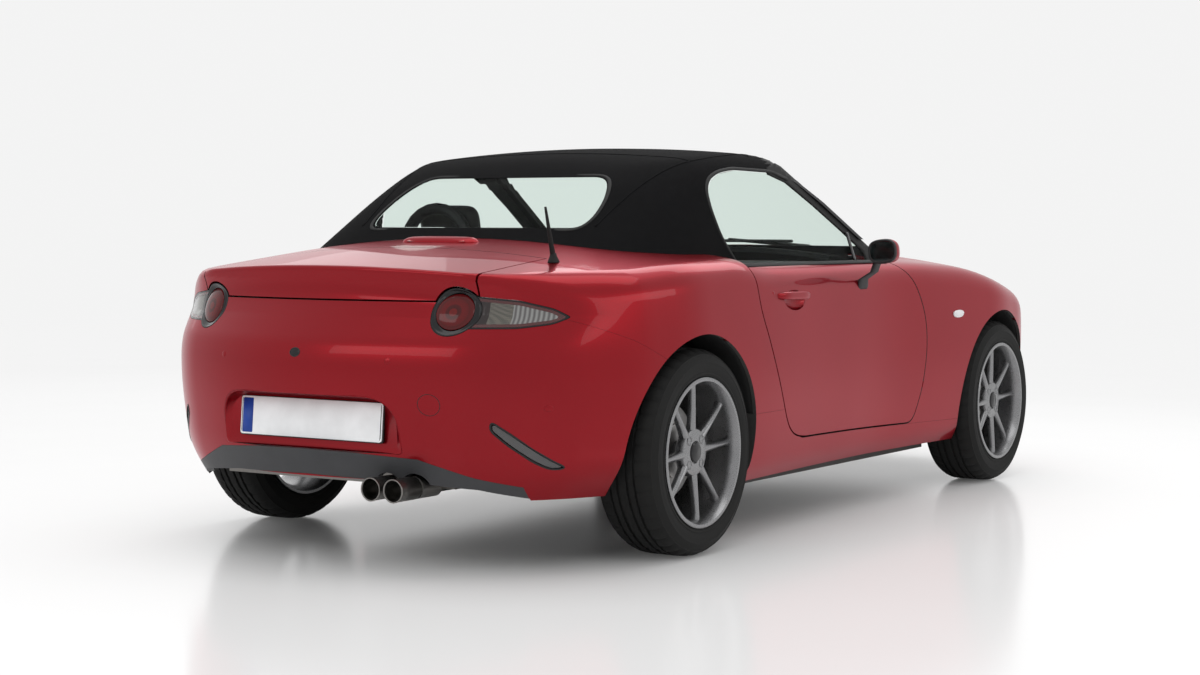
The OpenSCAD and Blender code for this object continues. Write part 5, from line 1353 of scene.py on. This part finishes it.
def cabin():
    wheel = dict(place=(150, 365, 740), radius=168, lean=24)
    rim = turned([(wheel["radius"] + 14.5 * math.cos(a), 13.5 * math.sin(a))
                  for a in np.linspace(0, 2 * math.pi, 20, endpoint=False)], 96)
    boss = turned([(0.3, -30), (52, -30), (56, -20), (57, -4), (50, 4), (30, 8), (0.3, 10)], 48)
    arms = []
    for a in (0, 180, 270):
        c, s = math.cos(math.radians(a)), math.sin(math.radians(a))
        rings = []
        for r, w, z in ((40, 26, -4), (80, 19, -7), (120, 16, -6), (160, 21, -1)):
            section = [(-w, -5), (-w, 3), (-w * 0.6, 6), (w * 0.6, 6), (w, 3), (w, -5)]
            rings.append([(r * c - u * s, r * s + u * c, z + v) for u, v in section])
        arms.append(loft(rings))
    column = turned([(0.3, -258), (19, -258), (19, -40), (30, -28), (0.3, -28)], 32)
    whole = joined(rim, boss, column, *arms)
    whole.transform(Matrix.Rotation(math.radians(90), 4, "Z"))
    moved(whole, wheel["place"], -90 + wheel["lean"], "Y")
    made = newPiece("steeringWheelLeather", whole, hide, "steering_wheel", ["steering_wheel"])
    made.data.set_sharp_from_angle(angle=math.radians(40))
    vents = []
    for y in (-560, -120, 120, 560):
        vents.append(moved(turned([(30, 0), (36, 0), (37, 8), (33, 12), (29, 9)], 40), (286, y, 770), -90,
                           "Y"))
    newPiece("dashVents", joined(*vents), chrome)
    turn = np.linspace(-0.2, math.pi + 0.2, 24)
    section = [(365 + u * math.cos(a), 806 + v * math.sin(a))
               for u, v, angles in ((150, 62, turn), (140, 54, turn[::-1])) for a in angles]
    hood = loft([[(x, y, z) for y, z in section] for x in (270, 300, 340, 400)])
    newPiece("dialHood", hood, cabinPlastic)
    for k, (y, r) in enumerate(((300, 30), (365, 42), (430, 30))):
        dial = turned([(0.3, 0), (r, 0), (r + 4, 2), (r + 4, 10), (r, 11), (r - 2, 5), (0.3, 5)], 40)
        newPiece("dial%d" % k, moved(dial, (300, y, 806), -90, "Y"), glossBlack)
    screen = loft([[(x, y, z) for y, z in rounded([(-88, 842), (88, 842), (88, 912), (-88, 912)], 8)]
                   for x in (300, 312)])
    newPiece("centreScreen", screen, glossBlack)
    print("cabin")


tailLamps()
wheels()
mirrors()
doorTrim()
topTrim()
screenSurround()
rearDetails()
frontDetails()
seats()
cabin()
for tool in scrap:
    bpy.data.objects.remove(tool)


# finishes of the pieces kept from the frame
finishes = {
    "floor_pan": seal, "front_subframe": seal, "rear_subframe": castMetal, "drivetrain": castMetal,
    "exhaust": exhaustMetal,
    "rear_valance": greyPlastic, "grille": blackPlastic, "headlamps": clearLens, "tail_lamps": redLens,
    "marker_lamps": smokeLens,
    "number_plate": plateWhite, "windscreen_frame": blackPlastic, "windscreen": glass, "wipers": blackPlastic,
    "rear_window": glass, "seats": hide, "roll_hoops": blackPlastic, "dashboard": cabinPlastic,
    "antenna": sealRubber,
    "door_glass_left": glass, "door_glass_right": glass, "mirror_left": paint, "mirror_right": paint,
    "steering_wheel": cabinPlastic, "steering_rack": steel, "knuckle_left": castMetal,
    "knuckle_right": castMetal}
for end in ("front", "rear"):
    for side in ("left", "right"):
        finishes["rim_%s_%s" % (end, side)] = wheelMetal
        finishes["tyre_%s_%s" % (end, side)] = rubber
for name, material in finishes.items():
    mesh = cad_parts[name].data
    mesh.materials.clear()
    mesh.materials.append(material)


def studio():
    bm = bmesh.new()
    bmesh.ops.create_circle(bm, cap_ends=True, segments=96, radius=60)
    bmesh.ops.translate(bm, verts=bm.verts[:], vec=(0, 0, -0.0005))
    s = Shader("studioFloor", (0.88, 0.88, 0.88), 0.16, Specular_IOR_Level=0.6)
    s.feed(Roughness=0.13 + s.noise(0.8, 2.0) * 0.06)
    x, y, _ = s.split()
    away = s.node("ShaderNodeMath", {0: ((x * x + y * y) ** 0.5 - 5) * 0.08, 1: 0.0}, operation="MAXIMUM")
    beside = [s.node("ShaderNodeMath", {0: s.node("ShaderNodeMath", {0: v}, operation="ABSOLUTE") - edge,
                                        1: 0.0}, operation="MAXIMUM")
              for v, edge in ((x, 1.5), (y, 0.55))]
    # painted light: the floor glows more the further it lies outside a rounded rectangle round the car's
    # footprint, so the floor beside the car is lifted towards white while the real shadow under the car stays
    # dark
    paintedLightBesideCar = s.node("ShaderNodeMath", {0: (beside[0] * beside[0] + beside[1] * beside[1]) ** 0.5 * 0.32,
                                     1: 0.24}, operation="MINIMUM")
    path = s.node("ShaderNodeLightPath", {})
    glossy = Wire(s, path.socket.node.outputs["Is Glossy Ray"])
    through = Wire(s, path.socket.node.outputs["Is Transmission Ray"])
    seen = s.node("ShaderNodeMath", {0: s.node("ShaderNodeMath", {0: path, 1: glossy}, operation="MAXIMUM"),
                                     1: through}, operation="MAXIMUM")
    amount = s.node("ShaderNodeMath", {0: away + paintedLightBesideCar, 1: 1.0}, operation="MINIMUM") * seen
    glow = s.node("ShaderNodeEmission", {"Color": (0.90, 0.90, 0.90, 1)})
    whole = s.node("ShaderNodeMixShader", {0: amount, 1: Wire(s, s.surface.outputs[0]), 2: glow})
    s.tree.links.new(whole.socket, s.tree.nodes["Material Output"].inputs[0])
    floor = newPiece("studioFloor", bm, s.material, None)
    world = bpy.data.worlds.new("studio")
    bpy.context.scene.world = world
    world.use_nodes = True
    tree = world.node_tree
    light, seen, mixer, path = (tree.nodes.new(k)
                                for k in ("ShaderNodeBackground", "ShaderNodeBackground",
                                          "ShaderNodeMixShader", "ShaderNodeLightPath"))
    light.inputs[0].default_value, light.inputs[1].default_value = (1, 1, 1, 1), 1.0
    seen.inputs[0].default_value, seen.inputs[1].default_value = (0.90, 0.90, 0.90, 1), 1.0
    either, anyRay = (tree.nodes.new("ShaderNodeMath") for _ in range(2))
    either.operation = anyRay.operation = "MAXIMUM"
    tree.links.new(path.outputs["Is Camera Ray"], either.inputs[0])
    tree.links.new(path.outputs["Is Glossy Ray"], either.inputs[1])
    tree.links.new(either.outputs[0], anyRay.inputs[0])
    tree.links.new(path.outputs["Is Transmission Ray"], anyRay.inputs[1])
    tree.links.new(anyRay.outputs[0], mixer.inputs[0])
    tree.links.new(light.outputs[0], mixer.inputs[1])
    tree.links.new(seen.outputs[0], mixer.inputs[2])
    tree.links.new(mixer.outputs[0], tree.nodes["World Output"].inputs[0])
    for name, place, aim, size, power in (
            ("overheadSoftbox", (-0.6, -0.5, 4.2), (0, 0, 0), (5.0, 2.6), 60),
            ("rearSoftbox", (-6.5, 0.5, 3.2), (-1, 0, 0.6), (4.0, 1.4), 30),
            ("sideSoftbox", (1.0, -7.0, 2.8), (0, 0, 0.5), (7.0, 1.6), 60),
            ("fillSoftbox", (3.0, 6.0, 3.0), (0, 0, 0.6), (5.0, 2.0), 16),
            ("shoulderSoftbox", (3.0, 0.4, 3.6), (-1.0, -0.7, 0.85), (3.6, 1.8), 40)):
        lamp = bpy.data.lights.new(name, "AREA")
        lamp.shape, lamp.size, lamp.size_y, lamp.energy = "RECTANGLE", *size, power
        lampObject = bpy.data.objects.new(name, lamp)
        bpy.context.scene.collection.objects.link(lampObject)
        lampObject.location = place
        lampObject.rotation_euler = (Vector(aim) - Vector(place)).to_track_quat("-Z", "Y").to_euler()
    view = dict(place=(-6.639, -3.987, 0.975), heading=32.34, tilt=-2.956, roll=0.16, lens=64.9)
    camera = bpy.data.cameras.new("camera")
    camera.lens, camera.sensor_width = view["lens"], 36
    holder = bpy.data.objects.new("camera", camera)
    bpy.context.scene.collection.objects.link(holder)
    holder.location = view["place"]
    holder.rotation_euler = (Matrix.Rotation(math.radians(view["heading"] - 90), 3,
                                             "Z") @ Matrix.Rotation(math.radians(90 + view["tilt"]), 3, "X")
                             @ Matrix.Rotation(math.radians(view["roll"]), 3, "Z")).to_euler()
    bpy.context.scene.camera = holder
    bpy.context.scene.view_settings.view_transform = "Standard"


studio()
print("studio set")
